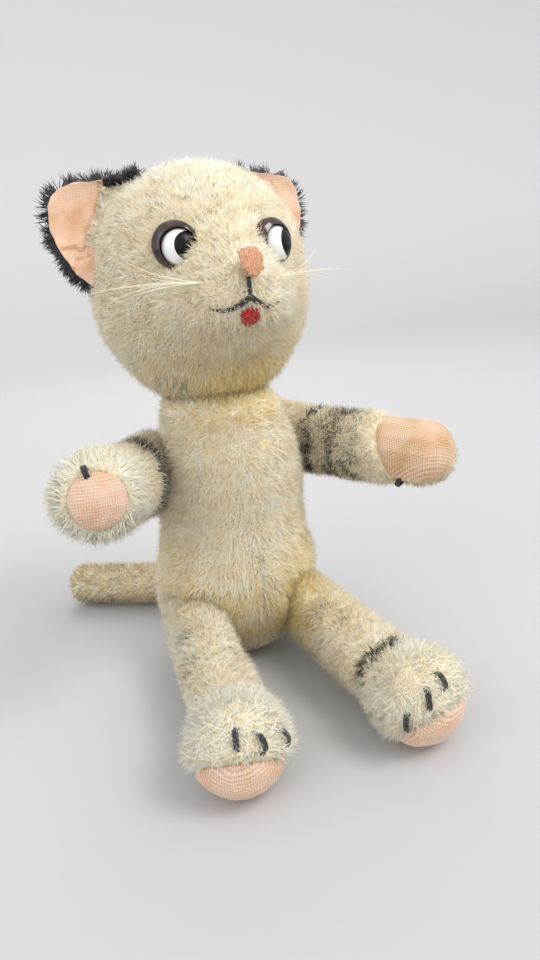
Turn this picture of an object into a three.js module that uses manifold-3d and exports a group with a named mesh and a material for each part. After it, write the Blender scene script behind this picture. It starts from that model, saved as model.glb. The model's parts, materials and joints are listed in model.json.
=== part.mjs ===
// A jointed plush cat, sitting. Millimetres, +Z up. The cat faces -Y and its own left is +X.
// The origin is on the ground under the middle of the body.
//
// Each soft part is a fabric cover, 1 mm thick, round a core of stuffing. Five disc joints hold the toy
// together: a split pin runs through a disc inside the body and a disc inside the head or limb.

import * as THREE from 'three';
import { mergeVertices } from 'three/addons/utils/BufferGeometryUtils.js';
import Module from 'manifold-3d';

const wasm = await Module();
wasm.setup();

// ---------- Driving dimensions ----------

const FABRIC = 1.0;            // thickness of the plush backing
const GAP = 0.4;               // clearance between neighbouring pieces
const STUFFING_GAP = 1.0;      // clearance between the cover and the stuffing

const NECK_HEIGHT = 95;        // plane of the neck joint
const HEAD = { centre: v(0, 0.5, 125.5), size: v(31.5, 28.5, 34.5) };
const CROWN = { centre: v(0, 0, 139), size: v(27.5, 24.5, 19) };
const CHEEKS = { centre: v(0, -27.5, 121.5), size: v(17, 19, 12) };
const BRIDGE = { centre: v(0, -27, 129), size: v(9.5, 20.3, 11) };

const SHOULDER_HEIGHT = { left: 68, right: 63 };
const SHOULDER_TURN = { left: 33, right: 18 };     // how far back each shoulder disc faces, in degrees
const SHOULDER_TILT = 10;      // how far up both shoulder discs face
const SHOULDER_DEPTH = 20;     // from the body's middle to the flat of the shoulder
const ARM_ROOT = { across: 8.5, along: 12.8 };   // half sizes of the top of the arm
const ARM_RADIUS = 10.3;
const PAW_RADIUS = 10.1;
const PAW = { left: v(56.5, -34.5, 69.7), right: v(-45, -36.5, 75.5) };

const HIP = { left: v(16.6, -10.3, 18), right: v(-16.6, -10.3, 18) };
const HIP_SPLAY = { left: 10, right: 5 };        // how far outward each leg points, in degrees
const THIGH_RADIUS = 11;
const THIGH_FLAT = 5.4;        // from the middle of the thigh to the flat against the body
const SHANK_RADIUS = { left: 9.2, right: 8.5 };
const FOOT = { left: v(28.2, -74.5, 13.8), right: v(-22.6, -71.5, 13.8) };
const FOOT_SIZE = v(12.8, 12, 12.8);
const ANKLE_DISTANCE = 13;     // from the foot's middle back to the ankle

const TAIL_ROOT = v(0.5, 33.6, 9.5);
const TAIL_TIP = v(-52.5, 63, 9.5);
const TAIL_RADIUS = 6.8;

const DISC = { radius: 6.2, thickness: 1.2 };      // fibreboard joint disc
const SHOULDER_SEAT = 17;      // radius of the flat on the body under each arm
const LIMB_FLAT = { arm: 26, leg: 25 };            // radius of the flat on a limb round its joint
const PIN_RADIUS = 1.1;
const PIN_HOLE = PIN_RADIUS + 0.3;

const EYE = { lid: 6.4, ball: 4.9, pupil: 4.1 };
const EYE_CENTRE = { left: v(15.1, -27.2, 134.3), right: v(-13.4, -27.2, 137.9) };

// ---------- Materials ----------

function finish(colour, roughness, metalness = 0) {
  return new THREE.MeshStandardMaterial({ color: colour, roughness, metalness });
}

const cream_mohair = finish('#d8cdab', 0.95);
const black_mohair = finish('#16161a', 0.9);
const velveteen = finish('#d3a284', 0.9);
const stuffing = finish('#c9b98f', 1.0);
const black_thread = finish('#17171a', 0.6);
const salmon_thread = finish('#d08a62', 0.7);
const red_felt = finish('#b3131d', 0.95);
const nylon = finish('#efe6c4', 0.3);
const brown_plastic = finish('#33211a', 0.12);
const white_plastic = finish('#f1f3f4', 0.15);
const black_plastic = finish('#08080a', 0.1);
const fibreboard = finish('#7a6248', 0.85);
const steel = finish('#9a9a9c', 0.35, 1);

// ---------- Small helpers ----------

function v(x, y, z) {
  return new THREE.Vector3(x, y, z);
}

function degrees(angle) {
  return THREE.MathUtils.degToRad(angle);
}

// A point some way along a direction.
function along(point, direction, distance) {
  return point.clone().addScaledVector(direction, distance);
}

function mixPoints(a, b, t) {
  return a.clone().lerp(b, t);
}

const cat = new THREE.Group();

function addPart(name, geometry, material) {
  const mesh = new THREE.Mesh(geometry, material);
  mesh.name = name;
  cat.add(mesh);
  return mesh;
}

// ---------- Fields ----------
// A field gives the distance from a point to a soft shape: negative inside it, zero on its surface.

function ball(centre, size) {
  return p => {
    const q = p.clone().sub(centre).divide(size);
    const reach = q.length();
    const slope = q.divide(size).length();
    return slope === 0 ? -size.x : reach * (reach - 1) / slope;
  };
}

// An ellipsoid turned about the vertical.
function turnedBall(centre, size, turn) {
  const level = ball(v(0, 0, 0), size);
  return p => level(p.clone().sub(centre).applyAxisAngle(v(0, 0, 1), -turn));
}

function limb(a, b, radiusA, radiusB) {
  const axis = b.clone().sub(a);
  return p => {
    const t = THREE.MathUtils.clamp(p.clone().sub(a).dot(axis) / axis.lengthSq(), 0, 1);
    return p.distanceTo(mixPoints(a, b, t)) - THREE.MathUtils.lerp(radiusA, radiusB, t);
  };
}

// What lies behind a plane, where the normal points to the front.
function behind(point, normal) {
  return p => p.clone().sub(point).dot(normal);
}

// The room outside a joint's disc: flat on the joint's plane and opening outward like a funnel.
function seat(joint, radius) {
  const FLARE = 1.2;
  return p => {
    const q = p.clone().sub(joint.point);
    const height = q.dot(joint.axis);
    const reach = along(q, joint.axis, -height).length();
    return Math.max(-height, (reach - radius - FLARE * height) / Math.hypot(1, FLARE));
  };
}

// What is left outside a shape.
function outside(field) {
  return p => -field(p);
}

// Joins shapes with a soft crease of the given width.
function melt(width, ...fields) {
  return p => fields.map(f => f(p)).reduce((a, b) => {
    const h = Math.max(width - Math.abs(a - b), 0) / width;
    return Math.min(a, b) - h * h * width / 4;
  });
}

// Keeps what all the shapes share, with a rounded edge of the given width.
function trim(width, ...fields) {
  return p => fields.map(f => f(p)).reduce((a, b) => {
    const h = Math.max(width - Math.abs(a - b), 0) / width;
    return Math.max(a, b) + h * h * width / 4;
  });
}

// The same shape, shrunk by a thickness.
function inset(field, depth) {
  return p => field(p) + depth;
}

// The point where a ray from inside a shape leaves it.
function surfacePoint(field, origin, direction) {
  const STEP = 1.0;
  let near = 0;
  while (field(along(origin, direction, near + STEP)) < 0) near += STEP;
  let far = near + STEP;
  for (let i = 0; i < 24; i++) {
    const middle = (near + far) / 2;
    if (field(along(origin, direction, middle)) < 0) near = middle;
    else far = middle;
  }
  return along(origin, direction, far);
}

// ---------- Meshes from fields ----------

// A closed mesh from rings of points, with one pole at each end.
function ringMesh(startPole, rings, endPole) {
  const points = [startPole, ...rings.flat(), endPole];
  const size = rings[0].length;
  const faces = [];
  for (let j = 0; j < size; j++) {
    const k = (j + 1) % size;
    faces.push(0, 1 + k, 1 + j);
    for (let i = 0; i + 1 < rings.length; i++) {
      const a = 1 + i * size;
      const b = a + size;
      faces.push(a + j, a + k, b + k, a + j, b + k, b + j);
    }
    const last = 1 + (rings.length - 1) * size;
    faces.push(last + j, last + k, points.length - 1);
  }
  return meshOf(points, faces);
}

// A geometry from shared points, turned right side out.
function meshOf(points, faces) {
  let volume = 0;
  for (let i = 0; i < faces.length; i += 3) {
    const [a, b, c] = [points[faces[i]], points[faces[i + 1]], points[faces[i + 2]]];
    volume += a.dot(b.clone().cross(c));
  }
  if (volume < 0) faces.reverse();
  const geometry = new THREE.BufferGeometry();
  const numbers = points.flatMap(p => [p.x, p.y, p.z]);
  geometry.setAttribute('position', new THREE.Float32BufferAttribute(numbers, 3));
  geometry.setIndex(faces);
  return geometry;
}

// The skin of a field round a path: rays fan out at both ends and stand square to the path between them.
function skin(field, path, { around, caps, stations, side = v(1, 0, 0) }) {
  const curve = path.length > 2 ? new THREE.CatmullRomCurve3(path) : new THREE.LineCurve3(...path);
  const fans = [];
  for (let i = 1; i <= caps; i++) fans.push({ t: 0, tip: -Math.cos(i / caps * Math.PI / 2) });
  for (let i = 1; i < stations; i++) fans.push({ t: i / stations, tip: 0 });
  for (let i = caps; i >= 1; i--) fans.push({ t: 1, tip: Math.cos(i / caps * Math.PI / 2) });
  const rings = fans.map(({ t, tip }) => {
    const origin = curve.getPointAt(t);
    const tangent = curve.getTangentAt(t);
    const across = along(side, tangent, -side.dot(tangent)).normalize();
    const up = tangent.clone().cross(across);
    const spread = Math.sqrt(1 - tip * tip);
    return Array.from({ length: around }, (_, j) => {
      const angle = j / around * 2 * Math.PI;
      const ray = tangent.clone().multiplyScalar(tip);
      ray.addScaledVector(across, spread * Math.cos(angle));
      ray.addScaledVector(up, spread * Math.sin(angle));
      return surfacePoint(field, origin, ray.normalize());
    });
  });
  const start = surfacePoint(field, curve.getPointAt(0), curve.getTangentAt(0).negate());
  const end = surfacePoint(field, curve.getPointAt(1), curve.getTangentAt(1));
  return ringMesh(start, rings, end);
}

// A closed slab over a grid of points, from a lower to an upper surface.
// Both are functions of two numbers from 0 to 1.
function slab(columns, rows, lower, upper) {
  const points = [];
  for (const surface of [lower, upper]) {
    for (let i = 0; i <= rows; i++) {
      for (let j = 0; j <= columns; j++) points.push(surface(j / columns, i / rows));
    }
  }
  const layer = (columns + 1) * (rows + 1);
  const at = (i, j) => i * (columns + 1) + j;
  const faces = [];
  const quad = (a, b, c, d) => faces.push(a, b, c, a, c, d);
  for (let i = 0; i < rows; i++) {
    for (let j = 0; j < columns; j++) {
      const corners = [at(i, j), at(i, j + 1), at(i + 1, j + 1), at(i + 1, j)];
      quad(...corners.map(n => n + layer));
      quad(...corners.toReversed());
    }
  }
  const edge = [];
  for (let j = 0; j < columns; j++) edge.push(at(0, j));
  for (let i = 0; i < rows; i++) edge.push(at(i, columns));
  for (let j = columns; j > 0; j--) edge.push(at(rows, j));
  for (let i = rows; i > 0; i--) edge.push(at(i, 0));
  edge.forEach((n, i) => {
    const next = edge[(i + 1) % edge.length];
    quad(n, next, next + layer, n + layer);
  });
  return meshOf(points, faces);
}

// ---------- Joins and cuts ----------

function solidOf(geometry) {
  const plain = geometry.clone();
  plain.deleteAttribute('normal');
  plain.deleteAttribute('uv');
  const merged = mergeVertices(plain, 1e-4);
  return new wasm.Manifold(new wasm.Mesh({
    numProp: 3,
    vertProperties: new Float32Array(merged.attributes.position.array),
    triVerts: new Uint32Array(merged.index.array),
  }));
}

function geometryOf(solid) {
  const mesh = solid.getMesh();
  const geometry = new THREE.BufferGeometry();
  geometry.setAttribute('position', new THREE.BufferAttribute(new Float32Array(mesh.vertProperties), 3));
  geometry.setIndex(new THREE.BufferAttribute(new Uint32Array(mesh.triVerts), 1));
  return geometry;
}

// The largest piece left after a cut.
function mainPiece(solid) {
  return solid.decompose().sort((a, b) => b.volume() - a.volume())[0];
}

// A geometry made along +Z, turned to lie along an axis from a point.
function placed(geometry, point, axis) {
  const turn = new THREE.Quaternion().setFromUnitVectors(v(0, 0, 1), axis.clone().normalize());
  return geometry.clone().applyQuaternion(turn).translate(point.x, point.y, point.z);
}

// A round bar from one end point, along an axis.
function bar(point, axis, radius, length, sides = 20) {
  const upright = new THREE.CylinderGeometry(radius, radius, length, sides);
  upright.rotateX(Math.PI / 2).translate(0, 0, length / 2);
  return placed(upright, point, axis);
}

function thread(points, radius, sides = 6, steps = 8) {
  const curve = new THREE.CatmullRomCurve3(points);
  const shape = new THREE.Shape();
  shape.absarc(0, 0, radius, 0, 2 * Math.PI);
  return new THREE.ExtrudeGeometry(shape, { steps, curveSegments: sides / 2, extrudePath: curve });
}

// A cover: the outer shape less the inner one, with a hole for each pin.
function coverOf(outer, inner, pins) {
  let cover = solidOf(outer).subtract(solidOf(inner));
  for (const pin of pins) cover = cover.subtract(solidOf(bar(pin.point, pin.axis, PIN_HOLE, pin.length)));
  return cover;
}

function cutAll(solid, tools) {
  return tools.reduce((rest, tool) => rest.subtract(tool), solid);
}

// ---------- Disc joints ----------
// Each joint is a plane with an axis that points out of the body, into the head or limb.

const PIN_SPARE = 4.4;         // length of a pin that its eye and curled legs take up

function discJoint(name, point, axis) {
  const inward = axis.clone().negate();
  const bodyFace = along(point, inward, FABRIC + GAP);
  const limbFace = along(point, axis, FABRIC + 3 * GAP);
  const length = 2 * (FABRIC + DISC.thickness) + 3 * GAP + PIN_SPARE;
  const start = along(point, inward, length / 2 - GAP / 2);
  return { name, point, axis, inward, bodyFace, limbFace, length, start };
}

// A disc with its pin hole.
function discGeometry(face, axis) {
  const disc = solidOf(bar(face, axis, DISC.radius, DISC.thickness, 14));
  const hole = solidOf(bar(along(face, axis, -1), axis, PIN_HOLE, DISC.thickness + 2, 8));
  return geometryOf(disc.subtract(hole));
}

// A split pin: a shank with an eye on the limb side and two legs curled back on the body side.
function pinGeometry(joint) {
  const WIRE = 0.6;
  const EYE_RADIUS = 1.6;
  const shank = solidOf(bar(joint.start, joint.axis, PIN_RADIUS, joint.length, 8));
  const eye = new THREE.TorusGeometry(EYE_RADIUS, WIRE, 5, 8).rotateX(Math.PI / 2);
  const eyeSolid = solidOf(placed(eye, along(joint.start, joint.axis, joint.length + 1.2), joint.axis));
  const side = v(0, 0, 1).cross(joint.axis).length() > 0.5 ? v(0, 0, 1) : v(1, 0, 0);
  const curl = sign => solidOf(thread([
    along(joint.start, joint.axis, 0.8),
    along(along(joint.start, joint.axis, -0.3), side, sign * 1.5),
    along(along(joint.start, joint.axis, 0.4), side, sign * 3.0),
  ], WIRE, 4, 3));
  return geometryOf(shank.add(eyeSolid).add(curl(1)).add(curl(-1)));
}

// The room that a joint's pieces need inside the stuffing.
function jointRoom(joint) {
  const GROW = 0.35;
  const HALF_DEPTH = 6;        // of the room round the two discs
  const PIN_ROOM = 4.4;        // radius of the room round the eye and the curled legs
  const reach = joint.length / 2 + 4;
  const from = along(joint.point, joint.inward, HALF_DEPTH);
  const discs = bar(from, joint.axis, DISC.radius + GROW, 2 * HALF_DEPTH, 14);
  const pin = bar(along(joint.point, joint.inward, reach), joint.axis, PIN_ROOM, 2 * reach, 10);
  return solidOf(discs).add(solidOf(pin));
}

// The same joint seen from the limb: its plane faces inward, a little way out.
function limbSide(joint, gap) {
  return { point: along(joint.point, joint.axis, gap), axis: joint.inward };
}

function addJoint(joint) {
  addPart(`${joint.name}_disc_inner`, discGeometry(joint.bodyFace, joint.inward), fibreboard);
  addPart(`${joint.name}_disc_outer`, discGeometry(joint.limbFace, joint.axis), fibreboard);
  addPart(`${joint.name}_pin`, pinGeometry(joint), steel);
}

// The hole that a joint's pin makes in the covers on both sides of the joint.
function coverPin(joint) {
  const REACH = 4;
  return { point: along(joint.point, joint.inward, REACH), axis: joint.axis, length: 2 * REACH };
}

const neck = discJoint('neck', v(0, 1.5, NECK_HEIGHT), v(0, 0, 1));

const SIDES = ['left', 'right'];
const outward = { left: 1, right: -1 };

const shoulder = {};
const hip = {};
for (const side of SIDES) {
  const turn = degrees(SHOULDER_TURN[side]);
  const rise = Math.tan(degrees(SHOULDER_TILT));
  const armAxis = v(outward[side] * Math.cos(turn), Math.sin(turn), rise).normalize();
  const armPoint = along(v(0.5, 0, SHOULDER_HEIGHT[side]), armAxis, SHOULDER_DEPTH);
  shoulder[side] = discJoint(`shoulder_${side}`, armPoint, armAxis);

  const splay = degrees(HIP_SPLAY[side]);
  const legAxis = v(outward[side] * Math.cos(splay), Math.sin(splay), 0);
  const legPoint = along(HIP[side], legAxis, -THIGH_FLAT - GAP / 2);
  hip[side] = discJoint(`hip_${side}`, legPoint, legAxis);
}

// ---------- Body ----------

// The room a leg sweeps as it turns from pointing forward to pointing down, grown by a margin.
function hipPocket(side, margin) {
  const ROOF_SLOPE = degrees(8);
  const REACH = 60;
  const DEPTH = 40;
  const radius = THIGH_RADIUS + GAP + margin;
  const shape = new THREE.Shape();
  shape.moveTo(REACH, -REACH);
  shape.lineTo(REACH, radius + REACH * Math.sin(ROOF_SLOPE));
  shape.lineTo(0, radius);
  shape.absarc(0, 0, radius, Math.PI / 2, Math.PI, false);
  shape.lineTo(-radius, -REACH);
  const prism = new THREE.ExtrudeGeometry(shape, { depth: DEPTH, bevelEnabled: false, curveSegments: 10 });
  const axis = hip[side].axis;
  const forward = v(axis.y, -axis.x, 0).multiplyScalar(outward[side]);
  const start = along(hip[side].point, axis, -GAP / 2 - margin);
  const depthWay = forward.clone().cross(v(0, 0, 1));
  if (depthWay.dot(axis) < 0) prism.translate(0, 0, -DEPTH);
  const basis = new THREE.Matrix4().makeBasis(forward, v(0, 0, 1), depthWay);
  prism.applyMatrix4(basis).translate(start.x, start.y, HIP[side].z);
  return solidOf(prism);
}

function ground(margin) {
  const SIZE = 200;
  const DEPTH = 20;
  const slabBelow = new THREE.BoxGeometry(SIZE, SIZE, DEPTH).translate(0, 0, margin - DEPTH / 2);
  return solidOf(slabBelow);
}

const torso = trim(
  2.5,
  melt(
    11,
    ball(v(0.5, 5.5, 17), v(25.5, 18.5, 19)),
    ball(v(0.5, -1, 30), v(26.5, 23.5, 25)),
    ball(v(0.8, 0.5, 62), v(24.3, 21.5, 28)),
    limb(v(0.5, 1.5, 77), v(0, 1.5, 100), 19.5, 15),
  ),
  behind(v(0, 0, NECK_HEIGHT), v(0, 0, 1)),
  ...SIDES.map(side => outside(seat(shoulder[side], SHOULDER_SEAT))),
);

const TORSO_PATH = [v(0, 1, 14), v(0, 1, 84)];

function torsoSolid(depth, detail) {
  const whole = solidOf(skin(inset(torso, depth), TORSO_PATH, detail));
  return cutAll(whole, [ground(depth), hipPocket('left', depth), hipPocket('right', depth)]);
}

function addBody() {
  const joints = [neck, shoulder.left, shoulder.right, hip.left, hip.right];
  const fine = { around: 24, caps: 4, stations: 7 };
  const coarse = { around: 18, caps: 4, stations: 7 };
  let cover = torsoSolid(0, fine).subtract(torsoSolid(FABRIC, fine));
  for (const joint of joints) {
    const pin = coverPin(joint);
    cover = cover.subtract(solidOf(bar(pin.point, pin.axis, PIN_HOLE, pin.length)));
  }
  addPart('body_cover', geometryOf(cover), cream_mohair);
  const core = cutAll(torsoSolid(FABRIC + STUFFING_GAP, coarse), joints.map(jointRoom));
  addPart('body_stuffing', geometryOf(core), stuffing);
}

// ---------- Head ----------

const skull = melt(
  6,
  ball(HEAD.centre, HEAD.size),
  ball(CROWN.centre, CROWN.size),
);
const head = trim(
  2,
  melt(5, skull, ball(CHEEKS.centre, CHEEKS.size), ball(BRIDGE.centre, BRIDGE.size)),
  behind(v(0, 0, NECK_HEIGHT + GAP), v(0, 0, -1)),
);
const HEAD_PATH = [v(0, 0.5, 108), v(0, -2, 138)];
const HEAD_DETAIL = { around: 24, caps: 5, stations: 5 };

// The head grown a little, to keep the eyes and ears clear of its cover.
function headRoom() {
  return solidOf(skin(inset(head, -0.3), HEAD_PATH, HEAD_DETAIL));
}

function addHead() {
  const outer = skin(head, HEAD_PATH, HEAD_DETAIL);
  const inner = skin(inset(head, FABRIC), HEAD_PATH, HEAD_DETAIL);
  let cover = coverOf(outer, inner, [coverPin(neck)]);
  cover = cutAll(cover, SIDES.map(side => eyeHole(side, EYE_POST + 0.3)));
  addPart('head_cover', geometryOf(cover), cream_mohair);
  const posts = SIDES.map(side => eyeHole(side, EYE_POST + 0.6));
  const core = solidOf(skin(inset(head, FABRIC + STUFFING_GAP), HEAD_PATH, HEAD_DETAIL));
  addPart('head_stuffing', geometryOf(cutAll(core, [jointRoom(neck), ...posts])), stuffing);
}

// ---------- Eyes ----------

const EYE_POST = 1.2;          // radius of the post that holds the eye in the head

// Where an eye sits, the way it faces, and the direction it glances in.
function eyeFrame(side) {
  const centre = EYE_CENTRE[side];
  const axis = v(outward[side] * 0.34, -0.93, 0.1).normalize();
  const glance = v(0, 0, 1).cross(axis).normalize();
  if (glance.x < 0) glance.negate();
  const up = axis.clone().cross(glance);
  if (up.z < 0) up.negate();
  const inside = along(centre, axis, -12);
  const seat = surfacePoint(head, inside, axis);
  return { axis, glance, up, seat };
}

// The hole for an eye's post, which runs from inside the head out through its cover.
function eyeHole(side, radius) {
  const DEPTH = 9;
  const LENGTH = 15;
  const eye = eyeFrame(side);
  return solidOf(bar(along(eye.seat, eye.axis, -DEPTH), eye.axis, radius, LENGTH, 8));
}

// A shallow dome on a round base, with its rim dropped towards the head.
function dome(point, axis, radius, height, rim) {
  const STEPS = 4;
  const profile = [new THREE.Vector2(0, 0), new THREE.Vector2(radius, 0)];
  for (let i = 0; i <= STEPS; i++) {
    const angle = i / STEPS * Math.PI / 2;
    profile.push(new THREE.Vector2(radius * Math.cos(angle), rim + (height - rim) * Math.sin(angle)));
  }
  profile[profile.length - 1].x = 0;
  const lathe = new THREE.LatheGeometry(profile, 16).rotateX(Math.PI / 2);
  return solidOf(placed(lathe, point, axis));
}

function addEye(side) {
  const eye = eyeFrame(side);
  const LIFT = 1.3;            // the eye's base stands clear of the curved fabric
  const LID_HEIGHT = 3.0;
  const BALL_HEIGHT = 3.9;
  const DROP = 0.8;            // the ball sits low in the lid
  const GLANCE = 1.1;          // the ball's shift towards the glance
  const PUPIL_GLANCE = 3.2;    // the pupil's further shift, which hides part of it under the ball's edge
  const FIT = 0.3;
  const base = along(eye.seat, eye.axis, LIFT);
  const ballBase = along(along(base, eye.up, -DROP), eye.glance, GLANCE);
  const pupilBase = along(ballBase, eye.glance, PUPIL_GLANCE);
  const room = headRoom();

  const ballShape = dome(ballBase, eye.axis, EYE.ball, BALL_HEIGHT, 1.2);
  const roomBase = along(ballBase, eye.axis, -FIT);
  const ballRoom = dome(roomBase, eye.axis, EYE.ball + FIT, BALL_HEIGHT + 2 * FIT, 1.4);
  const ballWell = solidOf(bar(along(ballBase, eye.axis, -4), eye.axis, EYE.ball + FIT, 5.5, 16));
  const pupilCore = solidOf(bar(along(pupilBase, eye.axis, 0.9), eye.axis, EYE.pupil, 6, 16));
  const pupilWell = solidOf(bar(along(pupilBase, eye.axis, 0.6), eye.axis, EYE.pupil + FIT, 8, 16));
  const post = solidOf(bar(along(base, eye.axis, -7.5), eye.axis, EYE_POST - 0.2, 8, 8));

  const lid = dome(base, eye.axis, EYE.lid, LID_HEIGHT, 0.8).subtract(ballRoom).subtract(ballWell);
  addPart(`eye_lid_${side}`, geometryOf(mainPiece(lid.subtract(room))), brown_plastic);
  const white = ballShape.subtract(pupilWell).subtract(room).add(post);
  addPart(`eye_ball_${side}`, geometryOf(white), white_plastic);
  addPart(`eye_pupil_${side}`, geometryOf(ballShape.intersect(pupilCore).subtract(room)), black_plastic);
}

// ---------- Ears ----------

// An ear is a cupped, rounded triangle: a plush back and a velveteen lining.
const EAR_TIP = { left: v(38, 13, 157), right: v(41, 12, 156.5) };
const EAR_LOW = { left: v(31, 3, 134.5), right: v(34.5, -1.5, 129) };
const EAR_HIGH = v(15.5, 1.5, 160.5);

// How slowly the outline rises from the low and the high end of the root: a small power is a full curve.
const EAR_BEND = { low: 0.48, high: 1.4 };
const EAR_CUP = 3.2;           // how far the ear's middle stands back from its edges

// A point of an ear: across runs up the root, out runs to the edge, and level is the height of a layer.
function earPoint(side, across, out, level) {
  const bend = across < 0.5 ? EAR_BEND.low : EAR_BEND.high;
  const rise = Math.pow(Math.sin(Math.PI * (0.04 + 0.92 * across)), bend);
  const root = mixPoints(EAR_LOW[side], EAR_HIGH, across);
  const reach = EAR_TIP[side].clone().sub(mixPoints(EAR_LOW[side], EAR_HIGH, 0.5));
  const lean = EAR_HIGH.clone().sub(EAR_LOW[side]).multiplyScalar((0.5 - across) * 0.12 * out);
  const back = v(0.1, 1, -0.1).normalize();
  const cup = EAR_CUP * (4 * out * (1 - out) * 0.6 + Math.pow(2 * across - 1, 2) * -0.6);
  const point = along(root, reach, rise * out).add(lean);
  point.addScaledVector(back, cup + level);
  return point.multiply(v(outward[side], 1, 1));
}

function addEar(side) {
  const room = headRoom();
  const layer = (from, to) => {
    const lower = (a, b) => earPoint(side, a, b, from);
    const upper = (a, b) => earPoint(side, a, b, to);
    return solidOf(slab(10, 6, lower, upper)).subtract(room);
  };
  addPart(`ear_lining_${side}`, geometryOf(layer(-1.2, 0)), velveteen);
  addPart(`ear_back_${side}`, geometryOf(layer(0.8, 2.4)), black_mohair);
}

// ---------- Face stitching ----------

const FACE_ORIGIN = v(0, -20, 126);

// A point over the muzzle: across and height in millimetres, lifted off the fabric.
function facePoint(across, height, lift) {
  const ray = v(across, -26, height - FACE_ORIGIN.z).normalize();
  return along(surfacePoint(head, FACE_ORIGIN, ray), ray, lift);
}

// A rounded patch over the muzzle, between two heights, whose half width is a function of the way down.
function facePatch(middle, top, bottom, halfWidth, low, high) {
  const surface = lift => (a, b) => {
    return facePoint(middle + (2 * a - 1) * halfWidth(b), THREE.MathUtils.lerp(bottom, top, b), lift);
  };
  return slab(4, 5, surface(low), surface(high));
}

function addFace() {
  const PATCH = 1.1;           // thickness of the nose and the tongue
  const STRAND = 0.6;          // radius of the mouth's thread
  const noseWidth = b => 1.6 + 1.5 * Math.sin(Math.PI * (0.15 + 0.6 * b));
  addPart('nose_stitching', facePatch(1.1, 134.6, 127.2, noseWidth, GAP, GAP + PATCH), salmon_thread);

  const tongueWidth = b => 0.9 + 2.3 * Math.sin(Math.PI * (0.08 + 0.8 * b));
  addPart('tongue', facePatch(0.2, 120.4, 115.0, tongueWidth, GAP, GAP + PATCH), red_felt);

  const lift = GAP + STRAND + 0.15;
  const down = [facePoint(0.3, 127, lift), facePoint(0, 125.4, lift), facePoint(0, 123.6, lift)];
  const middle = thread(down, STRAND, 6, 5);
  const lip = (sign, droop) => thread([
    facePoint(0, 124, lift),
    facePoint(sign * 3.2, 122.2 - droop * 0.5, lift),
    facePoint(sign * 6.2, 120.8 - droop, lift),
    facePoint(sign * 9.6, 121.4 - droop * 1.3, lift),
  ], STRAND, 6, 7);
  const mouth = solidOf(middle).add(solidOf(lip(1, 1.6))).add(solidOf(lip(-1, 0)));
  addPart('mouth_stitching', geometryOf(mouth), black_thread);
}

// Three nylon threads from one knot in the side of the muzzle.
function addWhiskers(side) {
  const KNOT_RADIUS = 0.8;
  const NYLON_RADIUS = 0.2;
  const knot = facePoint(outward[side] * 12.5, 127.5, KNOT_RADIUS + GAP);
  const ends = [v(27, -27, 134.5), v(26, -28, 132), v(38, -28, 127)];
  let whiskers = solidOf(new THREE.IcosahedronGeometry(KNOT_RADIUS, 1).translate(knot.x, knot.y, knot.z));
  for (const end of ends) {
    const tip = end.clone().multiply(v(outward[side], 1, 1));
    const middle = mixPoints(knot, tip, 0.5).add(v(outward[side] * 1.5, -1.5, 1));
    whiskers = whiskers.add(solidOf(thread([knot, middle, tip], NYLON_RADIUS, 4, 5)));
  }
  addPart(`whiskers_${side}`, geometryOf(whiskers), nylon);
}

// ---------- Arms ----------

function armShape(side) {
  const SUNK = 3.4;            // how much of the root's ball the joint's flat cuts away
  const joint = shoulder[side];
  const root = along(joint.point, joint.axis, ARM_ROOT.across - SUNK);
  const paw = PAW[side];
  const turn = Math.atan2(joint.axis.y, joint.axis.x);
  const rootSize = v(ARM_ROOT.across, ARM_ROOT.along, ARM_ROOT.along);
  const direction = paw.clone().sub(root).normalize();
  const start = along(root, direction, 4);
  return {
    root,
    paw,
    direction,
    field: trim(
      2,
      melt(7, turnedBall(root, rootSize, turn), limb(start, paw, ARM_RADIUS, PAW_RADIUS)),
      outside(seat(limbSide(joint, GAP), LIMB_FLAT.arm)),
    ),
  };
}

function blockBeyond(point, normal, distance) {
  const SIZE = 60;
  const block = new THREE.BoxGeometry(SIZE, SIZE, SIZE).translate(0, 0, distance + SIZE / 2);
  return solidOf(placed(block, point, normal));
}

// The room of a pad: what lies beyond all its edges, each a facing and a distance from the paw's centre.
function padRoom(centre, edges, margin) {
  const blocks = edges.map(edge => blockBeyond(centre, edge.facing, edge.distance - margin));
  return blocks.reduce((a, b) => a.intersect(b));
}

const PALM_EDGES = {
  left: [
    { facing: v(0.55, -0.8, 0.28).normalize(), distance: -9.8 },
    { facing: v(-0.62, -0.42, 0.66).normalize(), distance: -2.5 },
  ],
  right: [{ facing: v(-0.02, -1, 0.08).normalize(), distance: 5.6 }],
};

const LIMB_DETAIL = {
  fine: { around: 14, caps: 4, stations: 5, side: v(0, 0, 1) },
  coarse: { around: 10, caps: 3, stations: 5, side: v(0, 0, 1) },
};

// A limb's cover, its stuffing, and a pad that is cut out of the cover and set in again.
function addLimb(name, shape, joint, padName, padEdges) {
  const path = [shape.root, ...(shape.bends ?? []), shape.paw];
  const outer = skin(shape.field, path, LIMB_DETAIL.fine);
  const inner = skin(inset(shape.field, FABRIC), path, LIMB_DETAIL.fine);
  const cover = coverOf(outer, inner, [coverPin(joint)]);
  const rest = cover.subtract(padRoom(shape.paw, padEdges, 0.3));
  addPart(`${name}_cover`, geometryOf(rest), cream_mohair);
  addPart(padName, geometryOf(cover.intersect(padRoom(shape.paw, padEdges, 0))), velveteen);
  const core = solidOf(skin(inset(shape.field, FABRIC + STUFFING_GAP), path, LIMB_DETAIL.coarse));
  addPart(`${name}_stuffing`, geometryOf(core.subtract(jointRoom(joint))), stuffing);
}

// A stitch of thread lying on a soft surface, through points seen from inside it.
function stitch(field, centre, rays, radius) {
  const points = rays.map(ray => {
    const direction = ray.clone().normalize();
    return along(surfacePoint(field, centre, direction), direction, GAP + radius);
  });
  return thread(points, radius, 6, 6);
}

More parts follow.
